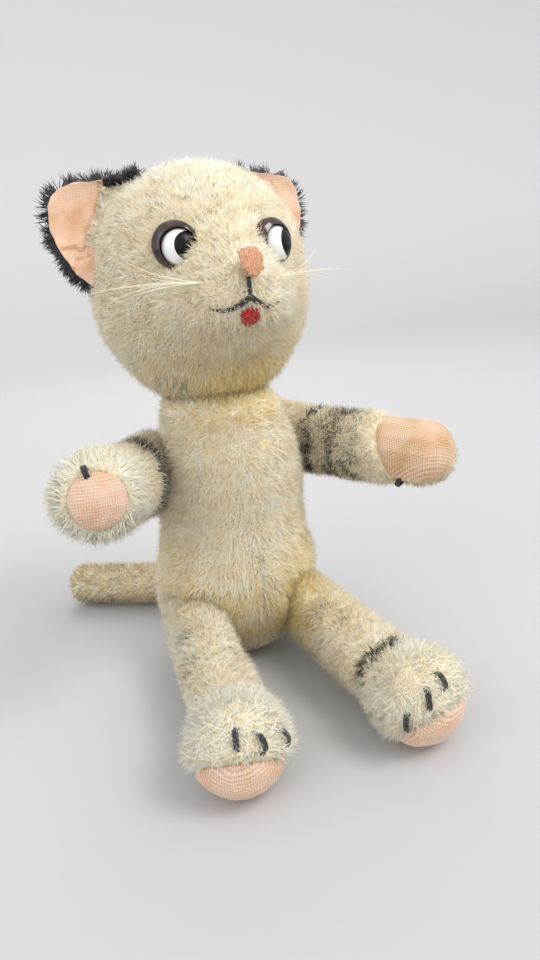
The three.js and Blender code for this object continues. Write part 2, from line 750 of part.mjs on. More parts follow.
const CLAW_THREAD = 0.9;       // radius of a claw's thread

// The directions, seen from the middle of the paw, between which its one claw stitch is sewn.
const PAW_CLAW = {
  left: [v(-0.7, -0.1, -0.5), v(-0.62, 0.1, -0.75)],
  right: [v(-0.18, -0.72, 0.7), v(-0.2, -0.46, 0.9)],
};

function addArm(side) {
  const shape = armShape(side);
  addLimb(`arm_${side}`, shape, shoulder[side], `palm_pad_${side}`, PALM_EDGES[side]);
  addPart(`paw_claw_${side}`, stitch(shape.field, shape.paw, PAW_CLAW[side], CLAW_THREAD), black_thread);
}

// ---------- Legs ----------

function legShape(side) {
  const joint = hip[side];
  const root = HIP[side];
  const foot = FOOT[side];
  const direction = foot.clone().sub(root).normalize();
  const ankle = along(foot, direction, -ANKLE_DISTANCE);
  const turn = Math.atan2(joint.axis.y, joint.axis.x);
  return {
    root,
    paw: foot,
    bends: [ankle],
    direction,
    field: trim(
      2,
      melt(
        5,
        limb(root, ankle, THIGH_RADIUS, SHANK_RADIUS[side]),
        turnedBall(foot, FOOT_SIZE, turn),
      ),
      outside(seat(limbSide(joint, GAP / 2), LIMB_FLAT.leg)),
    ),
  };
}

const SOLE_SLOPE = degrees(50);   // how far below level the sole faces
const SOLE_EDGE = { left: 5.6, right: 4.8 };   // from the foot's middle to the plane of the sole's seam
const SOLE_TURN = degrees(10);    // how far outward the sole faces from the line of the leg
const CLAW_TURN = { left: 31, right: 22 };   // how far inward the middle claw sits, in degrees

// Each claw's place: degrees inward of the middle claw, and degrees above level at its middle.
const CLAWS = {
  left: [{ inward: -30, rise: 46 }, { inward: -3, rise: 30 }, { inward: 22, rise: 4 }],
  right: [{ inward: -32, rise: 42 }, { inward: 0, rise: 32 }, { inward: 32, rise: 20 }],
};
const CLAW_REACH = 12;         // half the length of a claw, in degrees seen from the foot's centre

function soleFacing(forward) {
  return along(forward.clone().multiplyScalar(Math.cos(SOLE_SLOPE)), v(0, 0, -1), Math.sin(SOLE_SLOPE));
}

function addLeg(side) {
  const shape = legShape(side);
  const ahead = v(shape.direction.x, shape.direction.y, 0).normalize();
  const turned = angle => ahead.clone().applyAxisAngle(v(0, 0, 1), outward[side] * angle);
  const facing = soleFacing(turned(SOLE_TURN));
  addLimb(`leg_${side}`, shape, hip[side], `sole_pad_${side}`, [{ facing, distance: SOLE_EDGE[side] }]);
  CLAWS[side].forEach(({ inward, rise }, i) => {
    const level = turned(-degrees(CLAW_TURN[side] + inward));
    const rays = [-CLAW_REACH, 0, CLAW_REACH].map(step => {
      const angle = degrees(rise + step);
      return along(level.clone().multiplyScalar(Math.cos(angle)), v(0, 0, 1), Math.sin(angle));
    });
    addPart(`foot_claw_${side}_${i + 1}`, stitch(shape.field, shape.paw, rays, CLAW_THREAD), black_thread);
  });
}

// ---------- Tail ----------

function addTail() {
  const BLUNT = 2.2;           // how far the flat end lies beyond the tip's middle
  const end = TAIL_TIP.clone().sub(TAIL_ROOT).normalize();
  const round = limb(TAIL_ROOT, TAIL_TIP, TAIL_RADIUS, TAIL_RADIUS);
  const field = trim(3, round, behind(along(TAIL_TIP, end, BLUNT), end));
  const path = [TAIL_ROOT, TAIL_TIP];
  const outer = skin(field, path, LIMB_DETAIL.fine);
  const inner = skin(inset(field, FABRIC), path, LIMB_DETAIL.fine);
  const seam = { point: TAIL_ROOT, axis: v(0, -1, 0), length: 12 };
  addPart('tail_cover', geometryOf(coverOf(outer, inner, [seam])), cream_mohair);
  const core = skin(inset(field, FABRIC + STUFFING_GAP), path, LIMB_DETAIL.coarse);
  addPart('tail_stuffing', core, stuffing);
}

// ---------- Assembly ----------

addBody();
addHead();
addFace();
addTail();
addJoint(neck);
for (const side of SIDES) {
  addEye(side);
  addEar(side);
  addWhiskers(side);
  addArm(side);
  addLeg(side);
  addJoint(shoulder[side]);
  addJoint(hip[side]);
}

export default cat;
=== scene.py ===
"""The looks of a jointed plush cat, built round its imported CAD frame. Metres, +Z up, the cat faces -Y."""

import json
import math

import bmesh
import bpy
import numpy as np
from mathutils import Matrix, Vector
from mathutils.bvhtree import BVHTree


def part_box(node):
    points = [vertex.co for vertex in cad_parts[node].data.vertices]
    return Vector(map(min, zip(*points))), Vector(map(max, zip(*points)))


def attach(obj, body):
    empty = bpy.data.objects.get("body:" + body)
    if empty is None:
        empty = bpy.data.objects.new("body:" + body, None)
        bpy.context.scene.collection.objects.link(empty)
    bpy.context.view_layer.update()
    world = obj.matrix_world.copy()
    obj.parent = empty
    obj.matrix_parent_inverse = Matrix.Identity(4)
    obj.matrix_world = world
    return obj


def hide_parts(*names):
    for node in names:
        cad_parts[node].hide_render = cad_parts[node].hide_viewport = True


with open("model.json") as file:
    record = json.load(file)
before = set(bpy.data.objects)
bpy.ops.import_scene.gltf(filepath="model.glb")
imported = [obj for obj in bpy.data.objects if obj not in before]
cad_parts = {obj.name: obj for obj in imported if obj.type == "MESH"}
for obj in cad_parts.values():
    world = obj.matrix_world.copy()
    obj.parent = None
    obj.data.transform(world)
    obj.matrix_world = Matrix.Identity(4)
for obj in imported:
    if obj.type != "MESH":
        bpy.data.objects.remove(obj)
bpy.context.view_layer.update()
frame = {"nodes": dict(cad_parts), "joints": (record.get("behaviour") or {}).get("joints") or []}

MM = 0.001
SIDES = {"left": 1, "right": -1}
LIMBS = ("arm_left", "arm_right", "leg_left", "leg_right")


# ----- Vectors

def unit(v):
    v = np.asarray(v, float)
    return v / np.maximum(np.linalg.norm(v, axis=-1, keepdims=True), 1e-12)


def dots(a, b):
    return np.sum(np.asarray(a) * np.asarray(b), axis=-1)


def flattened(v, normal):
    """The part of v that lies in the surface."""
    return v - dots(v, normal)[..., None] * normal


def ease(x, low, high):
    """Rises smoothly from 0 at low to 1 at high."""
    t = np.clip((x - low) / (high - low), 0, 1)
    return t * t * (3 - 2 * t)


class Ripple:
    """A smooth, seeded noise: a sum of waves in random directions."""

    def __init__(self, seed, size, outputs=1, waves=10):
        rng = np.random.default_rng(seed)
        self.wave = unit(rng.normal(size=(waves, 3))) * 2 * math.pi / size
        self.wave *= rng.uniform(0.6, 1.5, (waves, 1))
        self.phase = rng.uniform(0, 2 * math.pi, waves)
        self.weight = rng.normal(size=(waves, outputs)) / math.sqrt(waves / 2)

    def __call__(self, points):
        value = np.sin(points @ self.wave.T + self.phase) @ self.weight
        return value[:, 0] if value.shape[1] == 1 else value


# ----- CAD nodes

def mesh_arrays(obj):
    """Points, triangles and smooth point normals of an object's mesh."""
    me = obj.data
    me.calc_loop_triangles()
    points = np.empty(len(me.vertices) * 3)
    me.vertices.foreach_get("co", points)
    triangles = np.empty(len(me.loop_triangles) * 3, np.int32)
    me.loop_triangles.foreach_get("vertices", triangles)
    points, triangles = points.reshape(-1, 3), triangles.reshape(-1, 3)
    face = np.cross(points[triangles[:, 1]] - points[triangles[:, 0]],
                    points[triangles[:, 2]] - points[triangles[:, 0]])
    normals = np.zeros_like(points)
    for k in range(3):
        np.add.at(normals, triangles[:, k], face)
    return points, triangles, unit(normals)


def node_points(node):
    return mesh_arrays(frame["nodes"][node])[0]


def tree_of(*nodes):
    points, faces = [], []
    for node in nodes:
        p, t, _ = mesh_arrays(frame["nodes"][node])
        faces += (t + len(points)).tolist()
        points += p.tolist()
    return BVHTree.FromPolygons(points, faces)


def tree_from(obj):
    points, faces, _ = mesh_arrays(obj)
    return BVHTree.FromPolygons(points.tolist(), faces.tolist())


def distances(tree, points, reach=0.02):
    """The distance from each point to the nearest face, or reach if none is that near."""
    found = (tree.find_nearest(p, reach) for p in points.tolist())
    return np.array([f[3] if f[0] is not None else reach for f in found])


def long_axis(node):
    """The middle of a node and the direction that it is longest in."""
    p = node_points(node)
    centre = p.mean(0)
    axis = np.linalg.svd(p - centre, full_matrices=False)[2][0]
    return centre, axis


def joint_point(name):
    return np.array(next(j["pos_m"] for j in frame["joints"] if j["name"] == name))


def corners(node):
    return tuple(np.array(c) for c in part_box(node))


# ----- Meshes

def new_object(name, points, faces):
    me = bpy.data.meshes.new(name)
    me.from_pydata(np.asarray(points).tolist(), [], [list(f) for f in faces])
    me.update()
    me.shade_smooth()
    obj = bpy.data.objects.new(name, me)
    bpy.context.scene.collection.objects.link(obj)
    return obj


def set_points(obj, points):
    obj.data.vertices.foreach_set("co", np.asarray(points, np.float32).ravel())
    obj.data.update()


def applied(obj):
    """Replaces the object's mesh with what its modifiers make of it."""
    bpy.context.view_layer.update()
    depsgraph = bpy.context.evaluated_depsgraph_get()
    mesh = bpy.data.meshes.new_from_object(obj.evaluated_get(depsgraph), depsgraph=depsgraph)
    obj.modifiers.clear()
    obj.data = mesh
    mesh.shade_smooth()
    return obj


def refined(name, node, voxel, rounds):
    """A fine, softened copy of a CAD node."""
    points, triangles, _ = mesh_arrays(frame["nodes"][node])
    obj = new_object(name, points, triangles)
    remesh = obj.modifiers.new("remesh", "REMESH")
    remesh.mode = "VOXEL"
    remesh.voxel_size = voxel
    soften = obj.modifiers.new("soften", "SMOOTH")
    soften.factor = 0.5
    soften.iterations = rounds
    return applied(obj)


def dress(obj, body, slot, *materials):
    """Puts a piece on its body, with its materials."""
    obj.data.materials.clear()
    for material in materials:
        obj.data.materials.append(material)
    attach(obj, body)


def stand_in(obj, node, body, slot, material):
    """Shows a piece in place of a CAD node."""
    dress(obj, body, slot, material)
    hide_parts(node)


def threads(name, parts, *place):
    """Joins threads into one piece that stands in for a node."""
    stand_in(outward(new_object(name, *joined(parts))), *place)


TUBE_STRANDS = 2


def tube(path, radii, sides, turns=0.0, groove=0.0):
    """Points and faces of a twisted thread along a path. The groove makes its strands show."""
    path = np.asarray(path, float)
    tangent = unit(np.gradient(path, axis=0))
    start = np.array([0.0, 0.0, 1.0]) if abs(tangent[0][2]) < 0.9 else np.array([1.0, 0.0, 0.0])
    across = [unit(flattened(start, tangent[0]))]
    for t in tangent[1:]:
        across.append(unit(flattened(across[-1], t)))
    across = np.array(across)
    other = np.cross(tangent, across)
    angle = np.arange(sides) / sides * 2 * math.pi
    way = np.linspace(0, 1, len(path))
    radius = np.broadcast_to(radii, len(path))[:, None]
    twist = TUBE_STRANDS * angle[None, :] - way[:, None] * turns * 2 * math.pi
    radius = radius * (1 + groove * (np.abs(np.cos(twist / 2)) * 2 - 1))
    ring = (path[:, None, :] + radius[..., None] * (np.cos(angle)[None, :, None] * across[:, None, :]
            + np.sin(angle)[None, :, None] * other[:, None, :]))
    points = ring.reshape(-1, 3).tolist()
    faces = []
    for i in range(len(path) - 1):
        for j in range(sides):
            k = (j + 1) % sides
            faces.append((i * sides + j, i * sides + k, (i + 1) * sides + k, (i + 1) * sides + j))
    faces.append(tuple(reversed(range(sides))))
    faces.append(tuple(range((len(path) - 1) * sides, len(path) * sides)))
    return points, faces


def joined(parts):
    points, faces = [], []
    for p, f in parts:
        faces += [tuple(i + len(points) for i in face) for face in f]
        points += list(p)
    return points, faces


# ----- Materials

def new_material(name, colour, roughness, **inputs):
    mat = bpy.data.materials.new(name)
    mat.use_nodes = True
    p = mat.node_tree.nodes["Principled BSDF"]
    p.inputs["Base Color"].default_value = (*colour, 1)
    p.inputs["Roughness"].default_value = roughness
    for key, value in inputs.items():
        p.inputs[key.replace("_", " ")].default_value = value
    return mat


def texture_noise(mat, scale, detail=4):
    nodes, links = mat.node_tree.nodes, mat.node_tree.links
    place = nodes.get("Texture Coordinate") or nodes.new("ShaderNodeTexCoord")
    noise = nodes.new("ShaderNodeTexNoise")
    noise.inputs["Scale"].default_value = scale
    noise.inputs["Detail"].default_value = detail
    links.new(place.outputs["Object"], noise.inputs["Vector"])
    return noise.outputs["Fac"]


def ramp(mat, factor, *stops):
    """A colour ramp: stops are (position, colour)."""
    node = mat.node_tree.nodes.new("ShaderNodeValToRGB")
    elements = node.color_ramp.elements
    while len(elements) < len(stops):
        elements.new(0.5)
    for element, (position, colour) in zip(elements, stops):
        element.position = position
        element.color = (*colour, 1)
    mat.node_tree.links.new(factor, node.inputs["Fac"])
    return node.outputs["Color"]


def mix(mat, kind, factor, a, b):
    node = mat.node_tree.nodes.new("ShaderNodeMix")
    node.data_type = "RGBA"
    node.blend_type = kind
    colours = [s for s in node.inputs if s.type == "RGBA"]
    node.inputs[0].default_value = factor
    for socket, value in zip(colours, (a, b)):
        mat.node_tree.links.new(value, socket)
    return next(s for s in node.outputs if s.type == "RGBA")


def feed(mat, socket, value):
    mat.node_tree.links.new(value, mat.node_tree.nodes["Principled BSDF"].inputs[socket])


def bump(mat, height, strength, distance):
    node = mat.node_tree.nodes.new("ShaderNodeBump")
    node.inputs["Strength"].default_value = strength
    node.inputs["Distance"].default_value = distance
    mat.node_tree.links.new(height, node.inputs["Height"])
    feed(mat, "Normal", node.outputs["Normal"])


def attribute(mat, name):
    node = mat.node_tree.nodes.new("ShaderNodeAttribute")
    node.attribute_name = name
    return node.outputs["Fac"]


def backing_material(name, dark, light):
    """The woven backing under the pile."""
    mat = new_material(name, light, 0.95)
    feed(mat, "Base Color", ramp(mat, texture_noise(mat, 900), (0.3, dark), (0.7, light)))
    bump(mat, texture_noise(mat, 2600, 2), 0.6, 0.4 * MM)
    return mat


def woven_material(name, gap, thread, worn):
    """Woven cotton velveteen: the attribute weave is 1 on top of a thread and 0 between threads."""
    mat = new_material(name, thread, 0.9, Sheen_Weight=0.25, Sheen_Roughness=0.5)
    weave = ramp(mat, attribute(mat, "weave"), (0.05, gap), (0.75, thread))
    stain = ramp(mat, texture_noise(mat, 110, 5), (0.42, (1, 1, 1)), (0.68, worn))
    feed(mat, "Base Color", mix(mat, "MULTIPLY", 1.0, weave, stain))
    bump(mat, texture_noise(mat, 5200, 3), 0.5, 0.2 * MM)
    return mat


def thread_material(name, dark, light, roughness, relief=0.4):
    mat = new_material(name, light, roughness, Sheen_Weight=0.3)
    feed(mat, "Base Color", ramp(mat, texture_noise(mat, 1500, 3), (0.35, dark), (0.65, light)))
    bump(mat, texture_noise(mat, 6000, 2), relief, 0.2 * MM)
    return mat


def gloss_material(name, dark, light, roughness, coat):
    mat = new_material(name, light, roughness, Coat_Weight=coat, Coat_Roughness=0.08)
    feed(mat, "Base Color", ramp(mat, texture_noise(mat, 260, 2), (0.4, dark), (0.7, light)))
    return mat


BACKING = backing_material("backing_cream", (0.74, 0.63, 0.43), (0.95, 0.84, 0.60))
BACKING_BLACK = backing_material("backing_black", (0.008, 0.008, 0.009), (0.03, 0.03, 0.035))
PAD = woven_material("velveteen_pad", (0.50, 0.30, 0.20), (0.82, 0.60, 0.46), (0.90, 0.80, 0.66))
PAD_DARK = woven_material("velveteen_pad_worn", (0.44, 0.27, 0.16), (0.80, 0.57, 0.41), (0.82, 0.72, 0.52))
LINING = woven_material("velveteen_ear", (0.60, 0.37, 0.25), (0.80, 0.56, 0.41), (0.80, 0.68, 0.54))
NOSE = thread_material("thread_salmon", (0.42, 0.18, 0.09), (0.64, 0.33, 0.18), 0.6, 0.05)
BLACK_THREAD = thread_material("thread_black", (0.004, 0.004, 0.005), (0.022, 0.022, 0.026), 0.55)
FELT = thread_material("felt_red", (0.18, 0.004, 0.005), (0.46, 0.010, 0.014), 0.95)
NYLON = new_material("nylon", (0.86, 0.82, 0.62), 0.3)
LID = gloss_material("plastic_brown", (0.010, 0.004, 0.003), (0.060, 0.024, 0.012), 0.14, 0.4)
WHITE = gloss_material("plastic_white", (0.80, 0.82, 0.82), (0.88, 0.90, 0.90), 0.3, 0.2)
PUPIL = gloss_material("plastic_black", (0.002, 0.002, 0.002), (0.006, 0.006, 0.007), 0.3, 0.05)
PUPIL.node_tree.nodes["Principled BSDF"].inputs["Specular IOR Level"].default_value = 0.2

# The pile's shades: the number is the shade's place in every pile piece's material list.
SHADES = {
    "white": (0.98, 0.95, 0.80), "ivory": (0.97, 0.90, 0.68), "cream": (0.96, 0.85, 0.60),
    "straw": (0.93, 0.78, 0.51), "sand": (0.82, 0.66, 0.43), "lemon": (0.95, 0.80, 0.38),
    "gold": (0.92, 0.68, 0.24), "ochre": (0.76, 0.53, 0.18), "olive": (0.50, 0.46, 0.31),
    "grey": (0.22, 0.21, 0.19), "soot": (0.045, 0.040, 0.045), "black": (0.012, 0.012, 0.015),
    "umber": (0.13, 0.085, 0.055),
}
SHADE = {name: i for i, name in enumerate(SHADES)}
PILE = [new_material(f"mohair_{name}", colour, 0.62, Sheen_Weight=0.15) for name, colour in SHADES.items()]


# ----- Skins

BEYOND = 0.2              # further out than any point of the cat
PINHOLE = 1.5 * MM        # a ray this much shorter than its neighbours has gone through a pin hole
CLOTH_PRESSURE = 4
CLOTH_FRAMES = 20
PUFF = {"trunk": 0.4 * MM, "limb": 0.3 * MM}


def wrap(name, start, end, targets, side, rings, around=96, blur=3):
    """A closed skin over CAD nodes, from rays that leave a path inside, fanned at its ends."""
    caps, stations = rings
    tree = tree_of(*targets)
    tangent = unit(end - start)
    across = unit(flattened(np.asarray(side, float), tangent))
    up = np.cross(tangent, across)
    fans = [(0.0, -math.cos(i / caps * math.pi / 2)) for i in range(1, caps + 1)]
    fans += [(i / stations, 0.0) for i in range(1, stations)]
    fans += [(1.0, math.cos(i / caps * math.pi / 2)) for i in range(caps, 0, -1)]
    angle = np.arange(around) / around * 2 * math.pi
    spokes = np.cos(angle)[:, None] * across + np.sin(angle)[:, None] * up
    tips = np.array([tip for _, tip in fans])
    origins = start + np.array([t for t, _ in fans])[:, None] * (end - start)
    rays = tips[:, None, None] * tangent + np.sqrt(1 - tips**2)[:, None, None] * spokes[None]

    def reach(origin, ray):
        far = origin + ray * BEYOND
        hit = tree.ray_cast(far.tolist(), (-ray).tolist())[0]
        return 0.0 if hit is None else float(np.dot(np.array(hit) - origin, ray))

    radius = np.array([[reach(o, r) for r in ring] for o, ring in zip(origins, rays)])
    poles = [reach(start, -tangent), reach(end, tangent)]
    poles = [max(pole, np.median(radius[row])) for pole, row in zip(poles, (0, -1))]
    grid = np.vstack([np.full((1, around), poles[0]), radius, np.full((1, around), poles[1])])
    grid = evened(grid)
    for _ in range(blur):
        grid = blurred(grid)
    grid[0], grid[-1] = grid[0].mean(), grid[-1].mean()
    points = (origins[:, None] + rays * grid[1:-1, :, None]).reshape(-1, 3)
    ends = np.array([start - tangent * grid[0, 0], end + tangent * grid[-1, 0]])
    points = np.vstack([ends[:1], points, ends[1:]])
    return new_object(name, points, ring_faces(len(fans), around))


def evened(grid):
    """Fills the odd rays that found a pin hole with the middle of their neighbours."""
    padded = np.vstack([grid[:1], grid, grid[-1:]])
    rows = [padded[i:i + len(grid)] for i in range(3)]
    near = np.stack([np.roll(row, k, axis=1) for row in rows for k in (-2, -1, 0, 1, 2)])
    middle = np.median(near, axis=0)
    return np.where(grid < middle - PINHOLE, middle, grid)


def blurred(grid):
    sideways = (np.roll(grid, 1, 1) + 2 * grid + np.roll(grid, -1, 1)) / 4
    padded = np.vstack([sideways[:1], sideways, sideways[-1:]])
    return (padded[:-2] + 2 * sideways + padded[2:]) / 4


def ring_faces(rings, around):
    faces = []
    last = 1 + (rings - 1) * around
    end = 1 + rings * around
    for j in range(around):
        k = (j + 1) % around
        faces.append((0, 1 + j, 1 + k))
        for i in range(rings - 1):
            a = 1 + i * around
            faces.append((a + k, a + j, a + around + j, a + around + k))
        faces.append((last + k, last + j, end))
    return faces


def outward(obj):
    """Turns every face to point out."""
    bm = bmesh.new()
    bm.from_mesh(obj.data)
    bmesh.ops.recalc_face_normals(bm, faces=bm.faces)
    bm.to_mesh(obj.data)
    bm.free()
    return obj


def swelled(obj, cap):
    """Puffs a skin with a short cloth simulation, as stuffing does, and moves no point further than cap."""
    rest = mesh_arrays(obj)[0]
    cloth = obj.modifiers.new("puff", "CLOTH")
    cloth.settings.use_pressure = True
    cloth.settings.uniform_pressure_force = CLOTH_PRESSURE
    cloth.settings.effector_weights.gravity = 0
    cloth.settings.quality = 4
    cloth.collision_settings.use_collision = False
    scene = bpy.context.scene
    for number in range(1, CLOTH_FRAMES + 1):
        scene.frame_set(number)
    depsgraph = bpy.context.evaluated_depsgraph_get()
    moved = np.empty(len(rest) * 3)
    obj.evaluated_get(depsgraph).data.vertices.foreach_get("co", moved)
    obj.modifiers.clear()
    scene.frame_set(1)
    step = moved.reshape(-1, 3) - rest
    size = np.linalg.norm(step, axis=1, keepdims=True)
    set_points(obj, rest + step * np.minimum(1, cap / np.maximum(size, 1e-9)))
    return obj


# ----- Pile

MAX_STRANDS = 21_000           # keeps a pile piece under 200,000 triangles
ROOT_DEPTH = 0.25 * MM         # how far a strand's root is sunk in the skin
FLOOR = 0.15 * MM              # the lowest that a strand may hang
DENSITY = {"body": 5.0, "head": 5.4, "limb": 5.2, "tail": 4.2, "ear": 9.0}  # strands per square mm
SEED = {"body": 11, "head": 21, "ear": 33, "temple": 43, "ear_rim": 47, "nose": 51, "tail": 71, "limb": 81}
SOOT_SHARE = {"ear": 0.22, "stripe": 0.3}

# Where a limb sits on the body, neither grows pile: they are this near and face each other this squarely.
SEAT_GAP = 1.2 * MM
SEAT_FACING = 0.8
NEARBY = 4 * MM

# Lengths of pile, in mm: a limb has one on its upper part and one on its paw.
BODY_PILE, BELLY_PILE, HEAD_PILE, MUZZLE_PILE, NECK_PILE = 3.9, 5.2, 3.9, 3.0, 5.2
LIMB_PILE = {"arm_left": (3.8, 2.4), "arm_right": (3.8, 5.0), "leg_left": (3.9, 4.2), "leg_right": (3.9, 4.4)}
EAR_PILE, EAR_RIM_PILE, TEMPLE_PILE, TAIL_PILE = 4.6 * MM, 3.6 * MM, 2.8 * MM, 3.3 * MM


class Roots:
    """Points spread evenly over a skin, with the way the skin faces."""

    def __init__(self, obj, kind, seed):
        points, triangles, normals = mesh_arrays(obj)
        rng = np.random.default_rng(seed)
        first, second, third = (points[triangles[:, k]] for k in range(3))
        area = np.linalg.norm(np.cross(second - first, third - first), axis=1) / 2
        count = int(area.sum() / MM**2 * DENSITY[kind])
        chosen = rng.choice(len(triangles), count, p=area / area.sum())
        a, b = rng.random((2, count, 1))
        over = a + b > 1
        a, b = np.where(over, 1 - a, a), np.where(over, 1 - b, b)
        share = np.concatenate([1 - a - b, a, b], axis=1)[..., None]
        self.points = (points[triangles[chosen]] * share).sum(1)
        self.normals = unit((normals[triangles[chosen]] * share).sum(1))
        self.rng = rng

    def keep(self, mask):
        self.points, self.normals = self.points[mask], self.normals[mask]


def inks(rng, count, kind):
    """Black for each strand, with some soot."""
    return np.where(rng.random(count) < SOOT_SHARE[kind], SHADE["soot"], SHADE["black"])


def pile(name, body, roots, nap, length, shades, lean=0.5, width=0.085, mess=0.5, tuft=0.26):
    """Grows strands: nap is the way they lie, length is in metres, and shades are numbers from SHADE."""
    p, n, rng = roots.points, roots.normals, roots.rng
    count = len(p)
    nap = unit(flattened(nap, n) + 1e-9)
    lean = np.broadcast_to(lean, count)[:, None]
    tufts = flattened(Ripple(len(name), 5 * MM, 3)(p), n)
    stray = flattened(rng.normal(size=(count, 3)), n)
    flow = nap * lean + tufts * tuft + stray * mess
    first = unit(n + flow * 0.7)
    second = unit(n * 0.75 + flow * 1.15 + rng.normal(size=(count, 3)) * 0.12)
    length = (length * rng.uniform(0.72, 1.15, count))[:, None]
    root = p - n * ROOT_DEPTH
    middle = root + first * length * 0.5
    tip = middle + second * length * 0.5
    middle[:, 2] = np.maximum(middle[:, 2], FLOOR)
    tip[:, 2] = np.maximum(tip[:, 2], FLOOR)
    side = unit(np.cross(first, rng.normal(size=(count, 3))))
    other = np.cross(first, side)
    thick = (width * MM * rng.uniform(0.75, 1.25, count))[:, None]
    turns = [math.cos(a) * side + math.sin(a) * other for a in (0, 2 * math.pi / 3, 4 * math.pi / 3)]
    rows = [root + t * thick for t in turns] + [middle + t * thick * 0.85 for t in turns] + [tip]
    soft = [unit(0.72 * n + 0.28 * t) for t in turns]
    shine = soft + soft + [n]
    points = np.stack(rows, axis=1)
    normals = np.stack(shine, axis=1)
    order = np.argsort(p[:, 2], kind="stable")
    pieces = max(1, math.ceil(count / MAX_STRANDS))
    for i, chosen in enumerate(np.array_split(order, pieces)):
        label = name if pieces == 1 else f"{name}_{i + 1}"
        strands(label, body, points[chosen], normals[chosen], shades[chosen])


STRAND_FACES = np.array([
    (0, 1, 4), (0, 4, 3), (1, 2, 5), (1, 5, 4), (2, 0, 3), (2, 3, 5),
    (3, 4, 6), (4, 5, 6), (5, 3, 6),
])


def strands(name, body, points, normals, shades):
    """One mesh of three-sided strands."""
    count = len(points)
    faces = (np.arange(count)[:, None, None] * 7 + STRAND_FACES[None]).reshape(-1, 3)
    me = bpy.data.meshes.new(name)
    me.vertices.add(count * 7)
    me.vertices.foreach_set("co", points.astype(np.float32).ravel())
    me.loops.add(faces.size)
    me.loops.foreach_set("vertex_index", faces.astype(np.int32).ravel())
    me.polygons.add(len(faces))
    me.polygons.foreach_set("loop_start", np.arange(0, faces.size, 3, dtype=np.int32))
    me.update(calc_edges=True)
    me.shade_smooth()
    me.normals_split_custom_set_from_vertices(normals.reshape(-1, 3).astype(np.float32))
    obj = bpy.data.objects.new(name, me)
    bpy.context.scene.collection.objects.link(obj)
    slot = "black_mohair" if "ear" in name else "cream_mohair"
    dress(obj, body, slot, *PILE)
    me.polygons.foreach_set("material_index", np.repeat(shades, len(STRAND_FACES)).astype(np.int32))


# ----- Colour of the pile

def near(points, centre, size):
    """1 at a centre, falling to 0 round it. Size is a radius or three of them, in mm."""
    q = (points / MM - np.array(centre)) / np.array(size, float)
    return np.exp(-dots(q, q))


def patches(points, node, *rows):
    """A sum of patches: strength, place in shares of the node's box from its low corner, size in mm."""
    low, high = corners(node)
    places = [(low + (high - low) * shares) / MM for _, shares, _ in rows]
    return sum(row[0] * near(points, place, row[2]) for row, place in zip(rows, places))


def ring(points, start, end, place, half, warp=0.0):
    """1 on a ring round a limb, at a distance in mm along it."""
    axis = unit(end - start)
    wave = Ripple(7, 9 * MM)(points) * warp
    s = (points - start) @ axis / MM + wave
    return np.exp(-((s - place) / half) ** 4)


def mixed_shades(points, rng, gold, dark, black, pale, brown=0.0):
    """A shade for each strand: cream by chance, pulled towards others by fields from 0 to 1."""
    count = len(points)
    patch = Ripple(3, 14 * MM)(points) * 0.28 + Ripple(4, 5 * MM)(points) * 0.35
    level = rng.normal(size=count) * 0.75 + patch - pale * 1.3 + 0.15
    shades = np.select([level < -1.1, level < -0.25, level < 0.65, level < 1.35],
                       [SHADE["white"], SHADE["ivory"], SHADE["cream"], SHADE["straw"]], SHADE["sand"])
    chance = rng.random(count)
    warm = np.select([level < -0.4, level < 0.7], [SHADE["lemon"], SHADE["gold"]], SHADE["ochre"])
    shades = np.where(chance < gold, warm, shades)
    chance = rng.random(count)
    dull = np.where(rng.random(count) < 0.5, SHADE["grey"], SHADE["olive"])
    shades = np.where(chance < dark, dull, shades)
    shades = np.where(rng.random(count) < brown, SHADE["umber"], shades)
    chance = rng.random(count)
    return np.where(chance < black, inks(rng, count, "stripe"), shades)


# ----- Body

def limb_ends(limb):
    """The two ends of a limb's inner path, from the root to the paw."""
    joint = "shoulder_" if limb.startswith("arm") else "hip_"
    root = joint_point(joint + limb.split("_")[1])
    centre, axis = long_axis(limb + "_stuffing")
    axis = axis if np.dot(centre - root, axis) > 0 else -axis
    along = (node_points(limb + "_stuffing") - centre) @ axis
    inset = 9 * MM
    return centre + axis * (along.min() + inset), centre + axis * (along.max() - inset)


